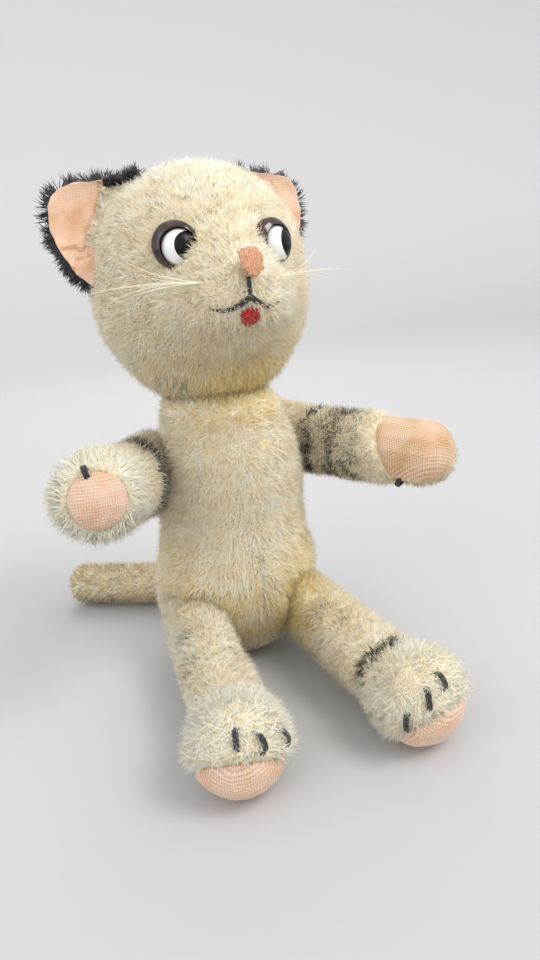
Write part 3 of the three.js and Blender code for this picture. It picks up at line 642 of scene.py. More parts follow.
def add_body():
    low, high = corners("body_cover")
    middle = (low + high) / 2
    start = np.array([middle[0], middle[1] + 1 * MM, low[2] + 14 * MM])
    end = np.array([middle[0], middle[1] + 1 * MM, high[2] - 11 * MM])
    skin = wrap("body_skin", start, end, ["body_cover"], (1, 0, 0), (16, 70), blur=2)
    swelled(outward(skin), PUFF["trunk"])
    stand_in(skin, "body_cover", "body", "cream_mohair", BACKING)

    roots = Roots(skin, "body", SEED["body"])
    p, n = roots.points, roots.normals
    hidden = (p[:, 2] > high[2] - 0.8 * MM) & (n[:, 2] > 0.85)
    hidden |= (p[:, 2] < 1.5 * MM) & (n[:, 2] < -0.5)
    for limb in LIMBS:
        close = distances(tree_of(limb + "_cover"), p, NEARBY) < SEAT_GAP
        hidden |= close & (n[:, 0] * SIDES[limb.split("_")[1]] > SEAT_FACING)
    roots.keep(~hidden)
    p, n = roots.points, roots.normals
    side = np.tanh((p[:, 0] - middle[0]) / (6 * MM))
    nap = np.stack([side * 0.55, np.zeros(len(p)), 2 * ease(p[:, 2], 84 * MM, 93 * MM) - 1], axis=1)
    front = ease(-n[:, 1], 0.2, 0.8)
    belly = front * ease(-p[:, 2], -60 * MM, -30 * MM) * ease(p[:, 2], 12 * MM, 26 * MM)
    length = (BODY_PILE + (BELLY_PILE - BODY_PILE) * belly) * MM
    length = np.where(p[:, 2] < 6 * MM, length * 0.7, length)
    gold = patches(p, "body_cover",
                   (0.9, (0.58, 0.17, 0.99), (19, 13, 9)), (0.9, (0.76, 0.08, 0.27), (10, 14, 12)),
                   (0.85, (0.25, 0.17, 0.29), (13, 12, 6)), (0.5, (0.49, 0.08, 0.15), (14, 12, 9)),
                   (0.35, (0.86, 0.39, 0.47), (7, 25, 16)), (0.3, (0.09, 0.39, 0.42), (5, 25, 14)))
    # The second dark patch is painted shade under the front of the body, between the legs.
    dark = patches(p, "body_cover",
                   (0.25, (0.53, 0.02, 0.32), (2, 10, 22)), (0.3, (0.42, 0.13, 0.06), (12, 12, 6)))
    pale = patches(p, "body_cover", (0.5, (0.53, 0.04, 0.53), (16, 14, 26)))
    shades = mixed_shades(p, roots.rng, gold, dark, 0.0, pale)
    pile("fur_body", "body", roots, nap, length, shades, lean=0.75)


# ----- Head

def add_head():
    low, high = corners("head_cover")
    axis_y = joint_point("neck")[1] - 1 * MM
    start = np.array([0, axis_y, low[2] + 13 * MM])
    end = np.array([0, axis_y - 3 * MM, high[2] - 22 * MM])
    skin = wrap("head_skin", start, end, ["head_cover"], (1, 0, 0), (30, 44), around=128, blur=5)
    swelled(outward(skin), PUFF["trunk"])
    p, _, n = mesh_arrays(skin)
    neck = joint_point("neck") / MM
    cheek = sum(bulge * near(p, neck + (x, -3.5, 26), (12, 20, 18)) for x, bulge in ((-31, 1.6), (31, 0.4)))
    set_points(skin, p + n * (cheek * MM)[:, None])
    stand_in(skin, "head_cover", "head", "cream_mohair", BACKING)

    roots = Roots(skin, "head", SEED["head"])
    p, n = roots.points, roots.normals
    hidden = (p[:, 2] < low[2] + 0.8 * MM) & (n[:, 2] < -0.85)
    marks = distances(tree_of("nose_stitching", "mouth_stitching", "tongue"), p, 8 * MM)
    hidden |= marks < 0.75 * MM
    eyes = distances(tree_of("eye_lid_left", "eye_lid_right", "eye_ball_left", "eye_ball_right"), p, 8 * MM)
    hidden |= eyes < np.where(p[:, 0] > 0, 0.4, 1.0) * MM
    ears = distances(tree_of("ear_lining_left", "ear_lining_right"), p, 8 * MM)
    hidden |= ears < 0.5 * MM
    roots.keep(~hidden)
    p, n, marks, eyes, ears = roots.points, roots.normals, marks[~hidden], eyes[~hidden], ears[~hidden]
    nose = sum(corners("nose_stitching")) / 2
    nap = unit(p - nose) + np.array([0, 0, -0.35])
    seam = ease(-p[:, 2], -106 * MM, -99 * MM)
    nap[:, 2] -= 2.5 * seam
    muzzle = near(p, nose / MM + (0, 6, -4), (15, 16, 14))
    length = (HEAD_PILE + (MUZZLE_PILE - HEAD_PILE) * muzzle + (NECK_PILE - HEAD_PILE) * seam) * MM
    length = np.minimum(length, (1.2 * MM + marks * 0.95))
    length = np.minimum(length, np.where(p[:, 0] > 0, 3.4, 1.8) * MM + eyes * 0.9)
    length = np.minimum(length, (2.2 * MM + ears * 0.8))
    gold = patches(p, "head_cover",
                   (0.95, (0.61, 0.41, 0.06), (20, 15, 9)), (0.12, (0.40, 0.31, 0.25), (16, 14, 10)))
    # The first dark patch is at the neck seam: partly its dark gathering stitches, partly painted shade in
    # the seam's crease.
    dark = patches(p, "head_cover",
                   (0.5, (0.26, 0.45, 0.07), (5, 5, 3.5)), (0.12, (0.12, 0.44, 0.35), (8, 12, 14)))
    # The pale patches are painted highlight: on the top of the head and on the left side of the muzzle, where
    # the key light falls.
    pale = patches(p, "head_cover", (0.9, (0.53, 0.46, 0.96), (22, 22, 12)))
    pale += 0.8 * near(p, nose / MM + (9, 5, 0), (9, 14, 12))
    shades = mixed_shades(p, roots.rng, gold, dark, 0.0, pale)
    lean = 0.42 + 0.8 * seam
    pile("fur_head", "head", roots, nap, length, shades, lean=lean)


# ----- Ears

# Folds and puckers of an ear's lining, as lines in mm across and up from the neck joint, as on the right ear.
EAR_FOLD = ((-26.3, 64.0), (-27.2, 59.5), (-30.2, 53.5), (-32.5, 50.0), (-34.0, 45.2))
EAR_FOLD_ACROSS, EAR_FOLD_RISE = zip(*reversed(EAR_FOLD))
EAR_PUCKER = ((-40.5, 45.9), (-36.9, 46.0), (-34.0, 43.4))
EAR_TUCK = ((-33.6, 43.2), (-36.9, 42.3), (-37.8, 39.4))
EAR_LOBE = ((-36.0, 39.4), (-33.0, 40.2))
EAR_CREASES = {                # line, width, depth
    "right": ((EAR_FOLD, 0.75, 1.5), (EAR_PUCKER, 0.6, 1.2), (EAR_TUCK, 0.6, 1.2)),
    "left": ((((-29.0, 61.5), (-31.0, 56.0), (-32.5, 51.0)), 1.0, 0.6),),
}
EAR_TEMPLE = (46.0, 62.0)      # how far up the head's pile laps over the lining
EAR_RIM = (-25.0, 62.5)        # the inner corner beyond which the right lining is black


def ear_place(side, points):
    """Places on an ear, in mm across and up from the neck joint, with the left ear mirrored."""
    return points[:, (0, 2)] * (-SIDES[side], 1) / MM - (0, joint_point("neck")[2] / MM)


def groove(place, line, wide):
    """1 on a broken line, falling to 0 beside it."""
    best = np.full(len(place), 1e9)
    for a, b in zip(np.array(line[:-1]), np.array(line[1:])):
        t = np.clip((place - a) @ (b - a) / np.dot(b - a, b - a), 0, 1)
        best = np.minimum(best, np.linalg.norm(place - a - t[:, None] * (b - a), axis=1))
    return np.exp(-((best / wide) ** 2))


def add_temple(side, lining):
    """The head's pile laps over the inner edge of the ear's lining."""
    roots = Roots(lining, "ear", SEED["temple"] + SIDES[side])
    across, rise = ear_place(side, roots.points).T
    inner = across > np.interp(rise, EAR_FOLD_RISE, EAR_FOLD_ACROSS) + 0.4
    inner &= (rise > EAR_TEMPLE[0]) & (rise < EAR_TEMPLE[1])
    if side == "left":
        inner = distances(tree_of("head_cover"), roots.points, 8 * MM) < 2.5 * MM
    roots.keep(inner & (roots.normals[:, 1] < -0.1))
    p = roots.points
    shades = mixed_shades(p, roots.rng, 0.0, 0.0, 0.0, 0.3)
    pile(f"fur_temple_{side}", "head", roots, np.array([-0.7 * SIDES[side], -0.3, -0.3]), TEMPLE_PILE, shades)


def add_rim(side, lining):
    """The inner corner of the ear's lining, where its backing shows and black pile folds over."""
    lining.data.materials.append(BACKING)
    lining.data.materials.append(BACKING_BLACK)
    faces = lining.data.polygons
    places = ear_place(side, np.array([face.center for face in faces]))
    for face, (across, rise) in zip(faces, places):
        past_fold = across > np.interp(rise, EAR_FOLD_RISE, EAR_FOLD_ACROSS) + 0.5
        if past_fold and rise > EAR_TEMPLE[0] and face.normal.y < 0.3:
            face.material_index = 1 if rise < EAR_RIM[1] else 2
    rim = Roots(lining, "ear", SEED["ear_rim"])
    across, rise = ear_place(side, rim.points).T
    rim.keep((rise > EAR_TEMPLE[1]) & (across > EAR_RIM[0]) & (rim.normals[:, 1] < 0.3))
    ink = inks(rim.rng, len(rim.points), "ear")
    nap = np.array([-0.2, -0.2, 1.0])
    pile("fur_ear_rim", "head", rim, nap, EAR_RIM_PILE, ink, width=0.15, mess=0.15, tuft=0.5)


def add_ear(side):
    lining = refined(f"ear_lining_{side}_velveteen", f"ear_lining_{side}", 0.26 * MM, 24)
    p, _, n = mesh_arrays(lining)
    low, high = corners(f"ear_lining_{side}")
    front = ease(-n[:, 1], 0.2, 0.6)
    tip_edge = np.minimum(1, distances(tree_of(f"ear_back_{side}"), p, 6 * MM) / (1.2 * MM))
    place = ear_place(side, p)
    crease = sum(depth * groove(place, line, wide) for line, wide, depth in EAR_CREASES[side])
    swell = 0.9 * groove(place, EAR_LOBE, 3.0) if side == "right" else 0.0
    cloth = (Ripple(31, 7 * MM)(p) * 0.15 - crease * front * tip_edge + swell * front) * MM
    weave = woven_height(p, *pad_axes((0, -1, 0)), 0.45 * MM, 0.40 * MM)
    set_points(lining, p + n * (cloth + weave * 0.03 * MM)[:, None])
    store(lining, "weave", weave)
    stand_in(lining, f"ear_lining_{side}", "head", "velveteen", LINING)
    add_temple(side, lining)
    if side == "right":
        add_rim(side, lining)

    back = refined(f"ear_back_{side}_cloth", f"ear_back_{side}", 0.6 * MM, 8)
    stand_in(back, f"ear_back_{side}", "head", "black_mohair", BACKING_BLACK)
    roots = Roots(back, "ear", SEED["ear"] + SIDES[side])
    free = distances(tree_of("head_cover"), roots.points, 5 * MM) > 1.2 * MM
    roots.keep(free & (roots.normals[:, 1] > -0.25))
    p = roots.points
    middle = (low + high) / 2
    nap = p - middle
    nap[:, 1] = 0
    ink = inks(roots.rng, len(p), "ear")
    pile(f"fur_ear_{side}", "head", roots, nap, EAR_PILE, ink,
         lean=0.55, width=0.15, mess=0.12, tuft=0.6)


# ----- Woven pads

def pad_axes(facing):
    """Two directions across a pad, square to the way it faces."""
    facing = unit(facing)
    u = unit(np.cross([0, 0, 1] if abs(facing[2]) < 0.9 else [0, 1, 0], facing))
    return u, np.cross(facing, u)


def woven_height(points, u, v, pitch_u, pitch_v):
    """A plain weave: 1 on top of a thread, 0 in the gaps."""
    a = points @ u + Ripple(41, 12 * MM)(points) * 0.15 * MM
    b = points @ v + Ripple(42, 12 * MM)(points) * 0.15 * MM
    warp = np.abs(np.sin(math.pi * a / pitch_u))
    weft = np.abs(np.sin(math.pi * b / pitch_v))
    over = np.sign(np.sin(math.pi * a / pitch_u) * np.sin(math.pi * b / pitch_v))
    thread = np.where(over > 0, 0.55 * warp + 0.45, 0.55 * weft + 0.35)
    return np.clip(thread * (0.35 + 0.65 * warp * weft), 0, 1)


def store(obj, name, values):
    attr = obj.data.attributes.new(name, "FLOAT", "POINT")
    attr.data.foreach_set("value", np.asarray(values, np.float32))


def add_pad(node, body, material, limb):
    """A woven pad, crowned by the stuffing, with its edge drawn in at the seam."""
    pad = refined(f"{node}_velveteen", node, 0.22 * MM, 16)
    p, _, n = mesh_arrays(pad)
    core = np.array(limb_ends(limb)[1])
    outer = dots(n, unit(p - core)) > 0.2
    edge = distances(tree_of(limb + "_cover"), p, 3 * MM)
    crown = ease(edge, 0.4 * MM, 2.6 * MM) * 0.7 - 0.25 * (1 - ease(edge, 0.2 * MM, 1.2 * MM))
    weave = woven_height(p, *pad_axes(unit(n[outer].mean(0))), 0.62 * MM, 0.78 * MM)
    lift = np.where(outer, crown + 0.10 * (weave - 0.5) + 0.10 * Ripple(43, 8 * MM)(p), 0) * MM
    moved = p + n * lift[:, None]
    moved[:, 2] = np.maximum(moved[:, 2], 0.1 * MM)
    set_points(pad, moved)
    store(pad, "weave", weave)
    stand_in(pad, node, body, "velveteen", material)


# ----- Claws

def add_claw(node, body, centre):
    """Parallel stitches of twisted black thread over the pile."""
    p = node_points(node)
    middle, axis = long_axis(node)
    up = unit(flattened(middle - centre, axis))
    side = np.cross(axis, up)
    half = np.abs((p - middle) @ axis).max() * 1.08
    parts = []
    way = np.linspace(-1, 1, 26)
    for offset, share in ((-0.36, 0.78), (0.36, 0.88)):
        arch = (1 - way**2) * 0.9 - 1.9 * np.abs(way) ** 6 + 0.25
        path = middle + np.outer(way * half * share, axis) + np.outer(arch * MM, up) + side * offset * MM
        parts.append(tube(path, 0.40 * MM, sides=12, turns=5, groove=0.16))
    threads(f"{node}_thread", parts, node, body, "black_thread", BLACK_THREAD)


# ----- Limbs

PAD_NODE = {"arm_left": "palm_pad_left", "arm_right": "palm_pad_right",
            "leg_left": "sole_pad_left", "leg_right": "sole_pad_right"}


def limb_colours(limb, p, start, end):
    """Gold, dark, black, pale and brown fields of a limb."""
    gold = dark = black = pale = brown = 0.0
    cover = limb + "_cover"
    axis = unit(end - start)
    if limb == "arm_left":
        black = 0.95 * ring(p, start, end, 21.5, 1.9, 0.9)
        brown = 0.75 * ring(p, start, end, 32.5, 3.6, 1.2)
        spot = 0.75 * ring(p, start, end, 41.0, 1.8, 1.2) * ease(-p[:, 2], -73 * MM, -64 * MM)
        black = np.maximum(black, spot)
        dark = 0.45 * ring(p, start, end, 32, 8, 1.5) + 0.4 * ring(p, start, end, 41, 2.6, 1.2)
    if limb == "arm_right":
        radial = unit(flattened(p - start, axis))
        slant = p - np.outer(radial[:, 0] * 8 * MM, axis)
        black = 0.97 * ring(slant, start, end, 17.0, 5.0, 0.7)
        pale = 1.2 * ease((p - end) @ axis, -14 * MM, 0)
    if limb == "leg_left":
        gold = patches(p, cover, (0.95, (0.13, 0.75, 0.74), (13, 17, 13)))
        upper = ease(p[:, 2], 14 * MM, 19 * MM)
        black = 0.95 * ring(p, start, end, 53.0, 2.6, 0.8) * upper * ease(-p[:, 0], -31 * MM, -26 * MM)
        dark = patches(p, cover, (0.65, (0.23, 0.58, 0.85), (3.2, 3.2, 4)),
                       (0.4, (0.36, 0.47, 0.85), (2.6, 2.6, 4)))
        pale = 1.0 * ease((p - end) @ axis, -14 * MM, -6 * MM)
    if limb == "leg_right":
        gold = patches(p, cover, (0.4, (0.77, 0.83, 0.92), (12, 8, 6)))
        dark = patches(p, cover, (0.6, (0.40, 0.63, 0.81), (3.5, 3, 4)))
        # The ring is painted shade in the crease at the ankle.
        dark = dark + 0.35 * ring(p, start, end, 32, 1.6, 1.2)
        pale = 1.0 * ease((p - end) @ axis, -16 * MM, -6 * MM) + 0.4
    return gold, dark, black, pale, brown


def add_limb(limb, seed):
    start, end = limb_ends(limb)
    pad = PAD_NODE[limb]
    skin = wrap(f"{limb}_skin", start, end, [limb + "_cover", pad], (0, 0, 1), (20, 44), blur=4)
    swelled(outward(skin), PUFF["limb"])
    p, _, n = mesh_arrays(skin)
    under = ease(-distances(tree_of(pad), p, 3 * MM), -1.6 * MM, -0.6 * MM)
    set_points(skin, p - n * (under * 1.0 * MM)[:, None])
    stand_in(skin, limb + "_cover", limb, "cream_mohair", BACKING)

    roots = Roots(skin, "limb", seed)
    p, n = roots.points, roots.normals
    inward = -SIDES[limb.split("_")[1]] * n[:, 0] > SEAT_FACING
    body_side = inward & (distances(tree_of("body_cover"), p, NEARBY) < SEAT_GAP)
    edge = distances(tree_of(pad), p, 12 * MM)
    shown = ~body_side & (edge > 0.9 * MM)
    roots.keep(shown)
    p, n, edge = roots.points, roots.normals, edge[shown]
    axis = unit(end - start)
    nap = axis * (0.9 if limb.startswith("arm") else 0.5) + np.array([0, 0, -0.25])
    rim = 1 - ease(edge, 2 * MM, 8 * MM)
    away = flattened(p - sum(corners(pad)) / 2, n)
    nap = nap * (1 - 0.8 * rim)[:, None] + unit(away) * (0.9 * rim)[:, None]
    upper, paw = LIMB_PILE[limb]
    length = (upper + (paw - upper) * ease((p - end) @ axis, -14 * MM, -4 * MM)) * MM
    length = np.minimum(length, 2.4 * MM + edge * 1.4)
    shades = mixed_shades(p, roots.rng, *limb_colours(limb, p, start, end))
    pile(f"fur_{limb}", limb, roots, nap, length, shades, lean=0.5)
    material = PAD_DARK if limb == "arm_left" else PAD
    add_pad(pad, limb, material, limb)


def add_tail():
    centre, axis = long_axis("tail_stuffing")
    axis = axis if axis[0] < 0 else -axis
    along = (node_points("tail_stuffing") - centre) @ axis
    start, end = centre + axis * (along.min() + 6 * MM), centre + axis * (along.max() - 5 * MM)
    skin = wrap("tail_skin", start, end, ["tail_cover"], (0, 0, 1), (14, 50), around=72, blur=3)
    swelled(outward(skin), PUFF["limb"])
    stand_in(skin, "tail_cover", "tail", "cream_mohair", BACKING)
    roots = Roots(skin, "tail", SEED["tail"])
    roots.keep(distances(tree_of("body_cover"), roots.points, NEARBY) > 0.8 * MM)
    p = roots.points
    far = ease((p - start) @ axis, 20 * MM, 62 * MM)
    dark = 0.14 + 0.12 * far + patches(p, "tail_cover", (0.5, (0.15, 0.74, 0.02), (12, 10, 3)))
    shades = mixed_shades(p, roots.rng, 0.28, dark, 0.0, -0.6)
    pile("fur_tail", "tail", roots, axis, TAIL_PILE, shades, lean=0.6)


# ----- Eyes

EYE_AXIS = (0.34, -0.93, 0.1)  # the way the left eye faces; the right one is its mirror image
EYE = {"lid": 6.4 * MM, "lid_height": 3.1 * MM, "ball": 4.95 * MM, "ball_height": 3.9 * MM, "pupil": 4.0 * MM}
GLANCE = 3.1 * MM              # how far the pupil is off the middle of the ball
BALL_SHIFT = (1.1, 0.8)        # how far the ball sits sideways and down in its lid, in mm
LID_DEPTH = 1.4 * MM


def dome_height(radius, size, height):
    return height * np.sqrt(np.maximum(1 - (radius / size) ** 2, 0))


def disc_patch(centre, u, v, axis, height_at, around=72, rings=22):
    """A round patch, from a function of the points of a unit disc that gives plane points and heights."""
    (flat,), (height,) = height_at(np.zeros((1, 2)))
    points, faces = [centre + u * flat[0] + v * flat[1] + axis * height], []
    angle = np.arange(around) / around * 2 * math.pi
    for i in range(1, rings + 1):
        disc = np.stack([np.cos(angle), np.sin(angle)], axis=1) * i / rings
        flat, height = height_at(disc)
        points += list(centre + flat[:, :1] * u + flat[:, 1:] * v + height[:, None] * axis)
    for j in range(around):
        k = (j + 1) % around
        faces.append((0, 1 + j, 1 + k))
        for i in range(rings - 1):
            a = 1 + i * around
            faces.append((a + j, a + around + j, a + around + k, a + k))
    last = 1 + (rings - 1) * around
    faces.append(tuple(range(last + around - 1, last - 1, -1)))
    return points, faces


def add_eye(side):
    sign = SIDES[side]
    axis = unit(np.array(EYE_AXIS) * (sign, 1, 1))
    glance = unit(np.cross([0, 0, 1], axis))
    glance = glance if glance[0] > 0 else -glance
    up = np.cross(axis, glance)
    up = up if up[2] > 0 else -up
    lid_points = node_points(f"eye_lid_{side}")
    box = (lid_points.min(0) + lid_points.max(0)) / 2
    base = (lid_points @ axis).min()
    centre = box - axis * (np.dot(box, axis) - base)
    ball = centre + glance * BALL_SHIFT[0] * MM - up * BALL_SHIFT[1] * MM

    # The lid: a thick dome with a round opening, wide at the top outer side.
    around, steps = 96, 14
    angle = np.arange(around) / around * 2 * math.pi
    way = np.cos(angle)[:, None] * glance + np.sin(angle)[:, None] * up
    inner = EYE["ball"] + 0.12 * MM
    shift = ball - centre
    along = way @ shift
    reach = -along + np.sqrt(np.maximum(along**2 - np.dot(shift, shift) + EYE["lid"] ** 2, 0))
    reach = np.maximum(reach, inner + 0.22 * MM)
    rows = []
    for i in range(steps + 1):
        r = inner + (reach - inner) * i / steps
        flat = ball + way * r[:, None]
        size = np.linalg.norm(flat - centre, axis=1)
        height = 0.5 * MM + dome_height(np.minimum(size, EYE["lid"]), EYE["lid"] * 1.004, EYE["lid_height"])
        rows.append(flat + axis * height[:, None])
    rows.append(ball + way * reach[:, None] - axis * LID_DEPTH)
    rows.append(ball + way * inner - axis * LID_DEPTH)
    points = np.concatenate(rows)
    faces = []
    for i in range(len(rows)):
        a, b = i * around, (i + 1) % len(rows) * around
        faces += [(a + j, a + (j + 1) % around, b + (j + 1) % around, b + j) for j in range(around)]
    lid = outward(new_object(f"eye_lid_{side}_plastic", points, faces))
    stand_in(lid, f"eye_lid_{side}", "head", "brown_plastic", LID)

    def ball_surface(disc):
        flat = disc * EYE["ball"]
        return flat, dome_height(np.linalg.norm(flat, axis=1), EYE["ball"] * 1.02, EYE["ball_height"])

    def pupil_surface(disc):
        flat = disc * EYE["pupil"] + (GLANCE, 0)
        size = np.linalg.norm(flat, axis=1, keepdims=True)
        flat = flat * np.minimum(1, EYE["ball"] * 0.985 / np.maximum(size, 1e-9))
        size = np.linalg.norm(flat, axis=1)
        rim = np.linalg.norm(disc, axis=1)
        lift = 0.12 * MM * np.sqrt(np.maximum(1 - rim**4, 0))
        return flat, dome_height(size, EYE["ball"] * 1.02, EYE["ball_height"]) + lift

    for part, surface, slot, material in (
        ("ball", ball_surface, "white_plastic", WHITE), ("pupil", pupil_surface, "black_plastic", PUPIL),
    ):
        patch = disc_patch(ball, glance, up, axis, surface)
        obj = outward(new_object(f"eye_{part}_{side}_plastic", *patch))
        stand_in(obj, f"eye_{part}_{side}", "head", slot, material)


# ----- Face

def on_face(tree, x, z, lift):
    """The point of the face at a place across and up, lifted towards the front."""
    hit = tree.ray_cast((x, -0.2, z), (0, 1, 0))[0]
    return np.array(hit) + np.array([0, -lift, 0])


def add_nose(tree):
    low, high = corners("nose_stitching")
    middle, half = (low[0] + high[0]) / 2, (high[0] - low[0]) / 2
    rng = np.random.default_rng(SEED["nose"])
    parts = []
    count = 9
    for i in range(count):
        share = (i + 0.5) / count * 2 - 1
        top = high[2] - (0.9 * share**2 + rng.uniform(0, 0.35)) * MM
        bottom = low[2] + (2.6 * abs(share) ** 1.6 + rng.uniform(0, 0.4)) * MM
        way = np.linspace(0, 1, 22)
        path = []
        for t in way:
            z = top + (bottom - top) * t
            x = middle + half * share * (0.96 - 0.14 * t**3)
            path.append(on_face(tree, x, z, (0.15 - 0.25 * share**2) * MM))
        path = np.array(path)
        path[:, 1] = np.polyval(np.polyfit(way, path[:, 1], 3), way)
        parts.append(tube(path, 0.50 * MM, sides=14, turns=2.5, groove=0.10))
    threads("nose_thread", parts, "nose_stitching", "head", "salmon_thread", NOSE)


def add_mouth(tree):
    low, high = corners("mouth_stitching")
    height = high[2] - low[2]
    split = low[2] + height * 0.55
    parts = []
    path = [on_face(tree, 0.0, z, 1.35 * MM) for z in np.linspace(high[2] + 0.4 * MM, split - 0.2 * MM, 14)]
    parts.append(tube(path, 0.56 * MM, sides=12, turns=3, groove=0.16))
    for end_x in (low[0], high[0]):
        for row, thick in ((0.0, 0.52), (0.7, 0.38)):
            path = []
            for t in np.linspace(0, 1, 24):
                sag = math.sin(math.pi * t * 0.72) * 0.92
                z = split - 0.2 * MM - sag * height * 0.40 - row * MM * (1 - t)
                path.append(on_face(tree, end_x * t, z, (1.35 - 0.9 * t) * MM))
            taper = thick * MM * (1 - 0.45 * np.linspace(0, 1, 24) ** 2)
            parts.append(tube(path, taper, sides=10, turns=5, groove=0.16))
    threads("mouth_thread", parts, "mouth_stitching", "head", "black_thread", BLACK_THREAD)


def add_tongue(tree):
    """A drop of felt that hangs from the mouth and stands off the face a little."""
    low, high = corners("tongue")
    middle, half = (low + high) / 2, (high - low) / 2
    around, rings = 72, 16
    fuzz = Ripple(61, 1.1 * MM)

    def layer(lift, share):
        angle = np.arange(around) / around * 2 * math.pi
        points = []
        for a in angle:
            z = math.sin(a) * share
            x = math.cos(a) * share * (0.88 + 0.12 * z)
            points.append(on_face(tree, middle[0] + half[0] * x, middle[2] + half[2] * z, lift(share) * MM))
        points = np.array(points)
        return points + fuzz(points)[:, None] * 0.05 * MM * np.array([0, -1, 0])

    front = [layer(lambda r: 2.0 - 0.9 * r**6, i / rings) for i in range(1, rings + 1)]
    back = [layer(lambda r: 0.5 + 0.3 * r**6, i / rings) for i in range(rings, 0, -1)]
    centre = [on_face(tree, middle[0], middle[2], d * MM) for d in (2.0, 0.5)]
    points = np.vstack([centre[:1]] + front + back + [centre[1]])
    obj = outward(new_object("tongue_felt", points, ring_faces(2 * rings, around)))
    stand_in(obj, "tongue", "head", "red_felt", FELT)


WHISKER_RADIUS = {"right": 0.13 * MM, "left": 0.09 * MM}


def add_whiskers(side):
    """Nylon threads from one knot, thinning to their tips."""
    p = node_points(f"whiskers_{side}")
    inner = p[np.abs(p[:, 0]) < np.abs(p[:, 0]).min() + 1.6 * MM]
    knot = (inner.min(0) + inner.max(0)) / 2
    tips, left = [], p[np.linalg.norm(p - knot, axis=1) > 5 * MM]
    for _ in range(3):
        tip = left[np.argmax(np.linalg.norm(left - knot, axis=1))]
        tips.append(tip)
        left = left[np.linalg.norm(left - tip, axis=1) > 1.6 * MM]
    bends = ((1.6, -1.4, 1.0), (1.0, -1.6, 0.4), (1.4, -1.2, -0.9))
    parts = []
    for tip, bend in zip(tips, bends):
        for t_end, turn in ((1.0, 0.0), (0.82, 1.2)):
            way = np.linspace(0, 1, 28)[:, None]
            far = knot + (tip - knot) * t_end + np.array([0, 0, -turn]) * MM
            bow = np.array(bend) * (SIDES[side], 1, 1) * MM
            path = knot + (far - knot) * way + bow * (4 * way * (1 - way))
            path = path - np.array([0, 0, turn * MM]) * way**2
            parts.append(tube(path, WHISKER_RADIUS[side] * (1 - 0.6 * way[:, 0]), sides=6))
    threads(f"whiskers_{side}_nylon", parts, f"whiskers_{side}", "head", "nylon", NYLON)


# ----- Inner pieces

def dress_inside():
    """Materials of the pieces inside the covers, which stay as the CAD made them."""
    core = backing_material("wood_wool", (0.42, 0.33, 0.18), (0.70, 0.60, 0.40))
    board = backing_material("fibreboard", (0.16, 0.10, 0.05), (0.30, 0.20, 0.12))
    steel = new_material("steel_wire", (0.55, 0.55, 0.56), 0.35, Metallic=1.0)
    feed(steel, "Roughness", ramp(steel, texture_noise(steel, 800), (0.3, (0.25,) * 3), (0.7, (0.45,) * 3)))
    for name, obj in frame["nodes"].items():
        if name.endswith("stitching") or obj.hide_render:
            continue
        material = core if name.endswith("stuffing") else steel if name.endswith("_pin") else board
        obj.data.materials.clear()
        obj.data.materials.append(material)


# ----- Stage

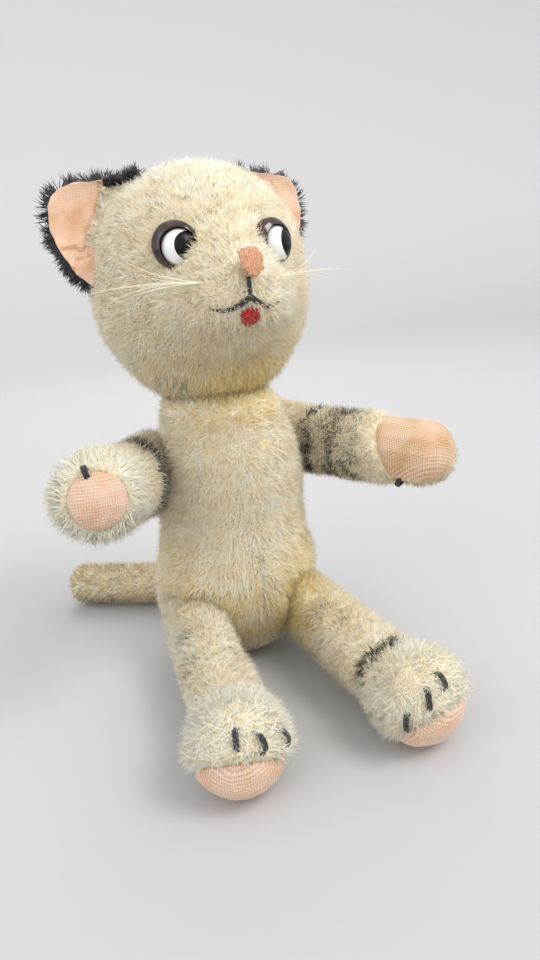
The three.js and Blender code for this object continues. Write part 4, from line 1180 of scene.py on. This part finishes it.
def add_stage():
    bend = [(1.0 + 1.2 * math.sin(t), 1.2 - 1.2 * math.cos(t)) for t in np.linspace(0, math.pi / 2, 25)]
    profile = [(-6.0, 0.0)] + bend + [(2.2, 8.0)]
    points = [(x, y, z) for y, z in profile for x in (-7.0, 7.0)]
    faces = [(2 * i, 2 * i + 1, 2 * i + 3, 2 * i + 2) for i in range(len(profile) - 1)]
    floor = new_object("floor", points, faces)
    pale = new_material("floor_pale", (0.52, 0.52, 0.53), 0.8)
    nodes, links = pale.node_tree.nodes, pale.node_tree.links
    place, split, depth = (nodes.new(f"ShaderNode{kind}") for kind in ("TexCoord", "SeparateXYZ", "MapRange"))
    links.new(place.outputs["Object"], split.inputs[0])
    links.new(split.outputs["Y"], depth.inputs["Value"])
    depth.inputs["From Min"].default_value = -0.2
    depth.inputs["From Max"].default_value = 1.8
    # Painted light: the sweep is darker near the cat and lighter towards the back and up the wall.
    near_grey, far_grey = (0.50, 0.50, 0.51), (0.74, 0.74, 0.75)
    feed(pale, "Base Color", ramp(pale, depth.outputs[0], (0.0, near_grey), (1.0, far_grey)))
    floor.data.materials.append(pale)
    world = bpy.data.worlds.new("studio")
    bpy.context.scene.world = world
    world.use_nodes = True
    nodes, links = world.node_tree.nodes, world.node_tree.links
    path = nodes.new("ShaderNodeLightPath")
    seen = nodes.new("ShaderNodeMix")
    seen.data_type = "RGBA"
    glow, wall = (s for s in seen.inputs if s.type == "RGBA")
    glow.default_value = (1.05, 1.05, 1.05, 1)
    wall.default_value = (0.60, 0.60, 0.61, 1)
    links.new(path.outputs["Is Camera Ray"], seen.inputs[0])
    links.new(next(s for s in seen.outputs if s.type == "RGBA"), nodes["Background"].inputs["Color"])
    for name, place, size, power, colour in (
        ("key", (0.40, -0.50, 0.80), 0.40, 4.6, (1.0, 0.98, 0.95)),
        ("fill", (-0.75, -0.45, 0.55), 0.7, 1.8, (0.95, 0.97, 1.0)),
        ("back", (0.1, 0.7, 0.8), 0.6, 2.2, (1.0, 1.0, 1.0)),
    ):
        light = bpy.data.lights.new(name, "AREA")
        light.energy = power
        light.size = size
        light.color = colour
        lamp = bpy.data.objects.new(name, light)
        lamp.location = place
        aim = Vector((0.0, -0.02, 0.07)) - Vector(place)
        lamp.rotation_euler = aim.to_track_quat("-Z", "Y").to_euler()
        bpy.context.scene.collection.objects.link(lamp)


CAMERA = {"azimuth": -18.2, "elevation": 16.7, "distance": 226.0, "aside": 15.2, "height": 60.8,
          "lens": 24.55, "roll": -5.4}


def add_camera():
    a, e, r = (math.radians(CAMERA[k]) for k in ("azimuth", "elevation", "roll"))
    back = np.array([math.sin(a) * math.cos(e), -math.cos(a) * math.cos(e), math.sin(e)])
    right = np.array([math.cos(a), math.sin(a), 0])
    up = np.cross(back, right)
    x = right * math.cos(r) + up * math.sin(r)
    y = -right * math.sin(r) + up * math.cos(r)
    target = right * CAMERA["aside"] * MM + np.array([0, 0, CAMERA["height"] * MM])
    place = target + back * CAMERA["distance"] * MM
    data = bpy.data.cameras.new("camera")
    data.lens = CAMERA["lens"]
    data.sensor_width = 36
    data.clip_start = 0.01
    camera = bpy.data.objects.new("camera", data)
    bpy.context.scene.collection.objects.link(camera)
    rows = [[*row, p] for row, p in zip(np.stack([x, y, back], axis=1), place)]
    camera.matrix_world = Matrix(rows + [[0, 0, 0, 1]])
    bpy.context.scene.camera = camera
    bpy.context.scene.view_settings.view_transform = "Standard"


# ----- Assembly

add_body()
add_head()
add_tail()
for number, limb_name in enumerate(LIMBS):
    add_limb(limb_name, SEED["limb"] + number)
for side_name in SIDES:
    add_ear(side_name)
    add_eye(side_name)
    add_whiskers(side_name)
    add_claw(f"paw_claw_{side_name}", f"arm_{side_name}", limb_ends(f"arm_{side_name}")[1])
    for claw in (1, 2, 3):
        add_claw(f"foot_claw_{side_name}_{claw}", f"leg_{side_name}", limb_ends(f"leg_{side_name}")[1])
FACE = tree_from(bpy.data.objects["head_skin"])
add_nose(tree_of("nose_stitching", "head_cover"))
add_mouth(FACE)
add_tongue(FACE)
dress_inside()
add_stage()
add_camera()
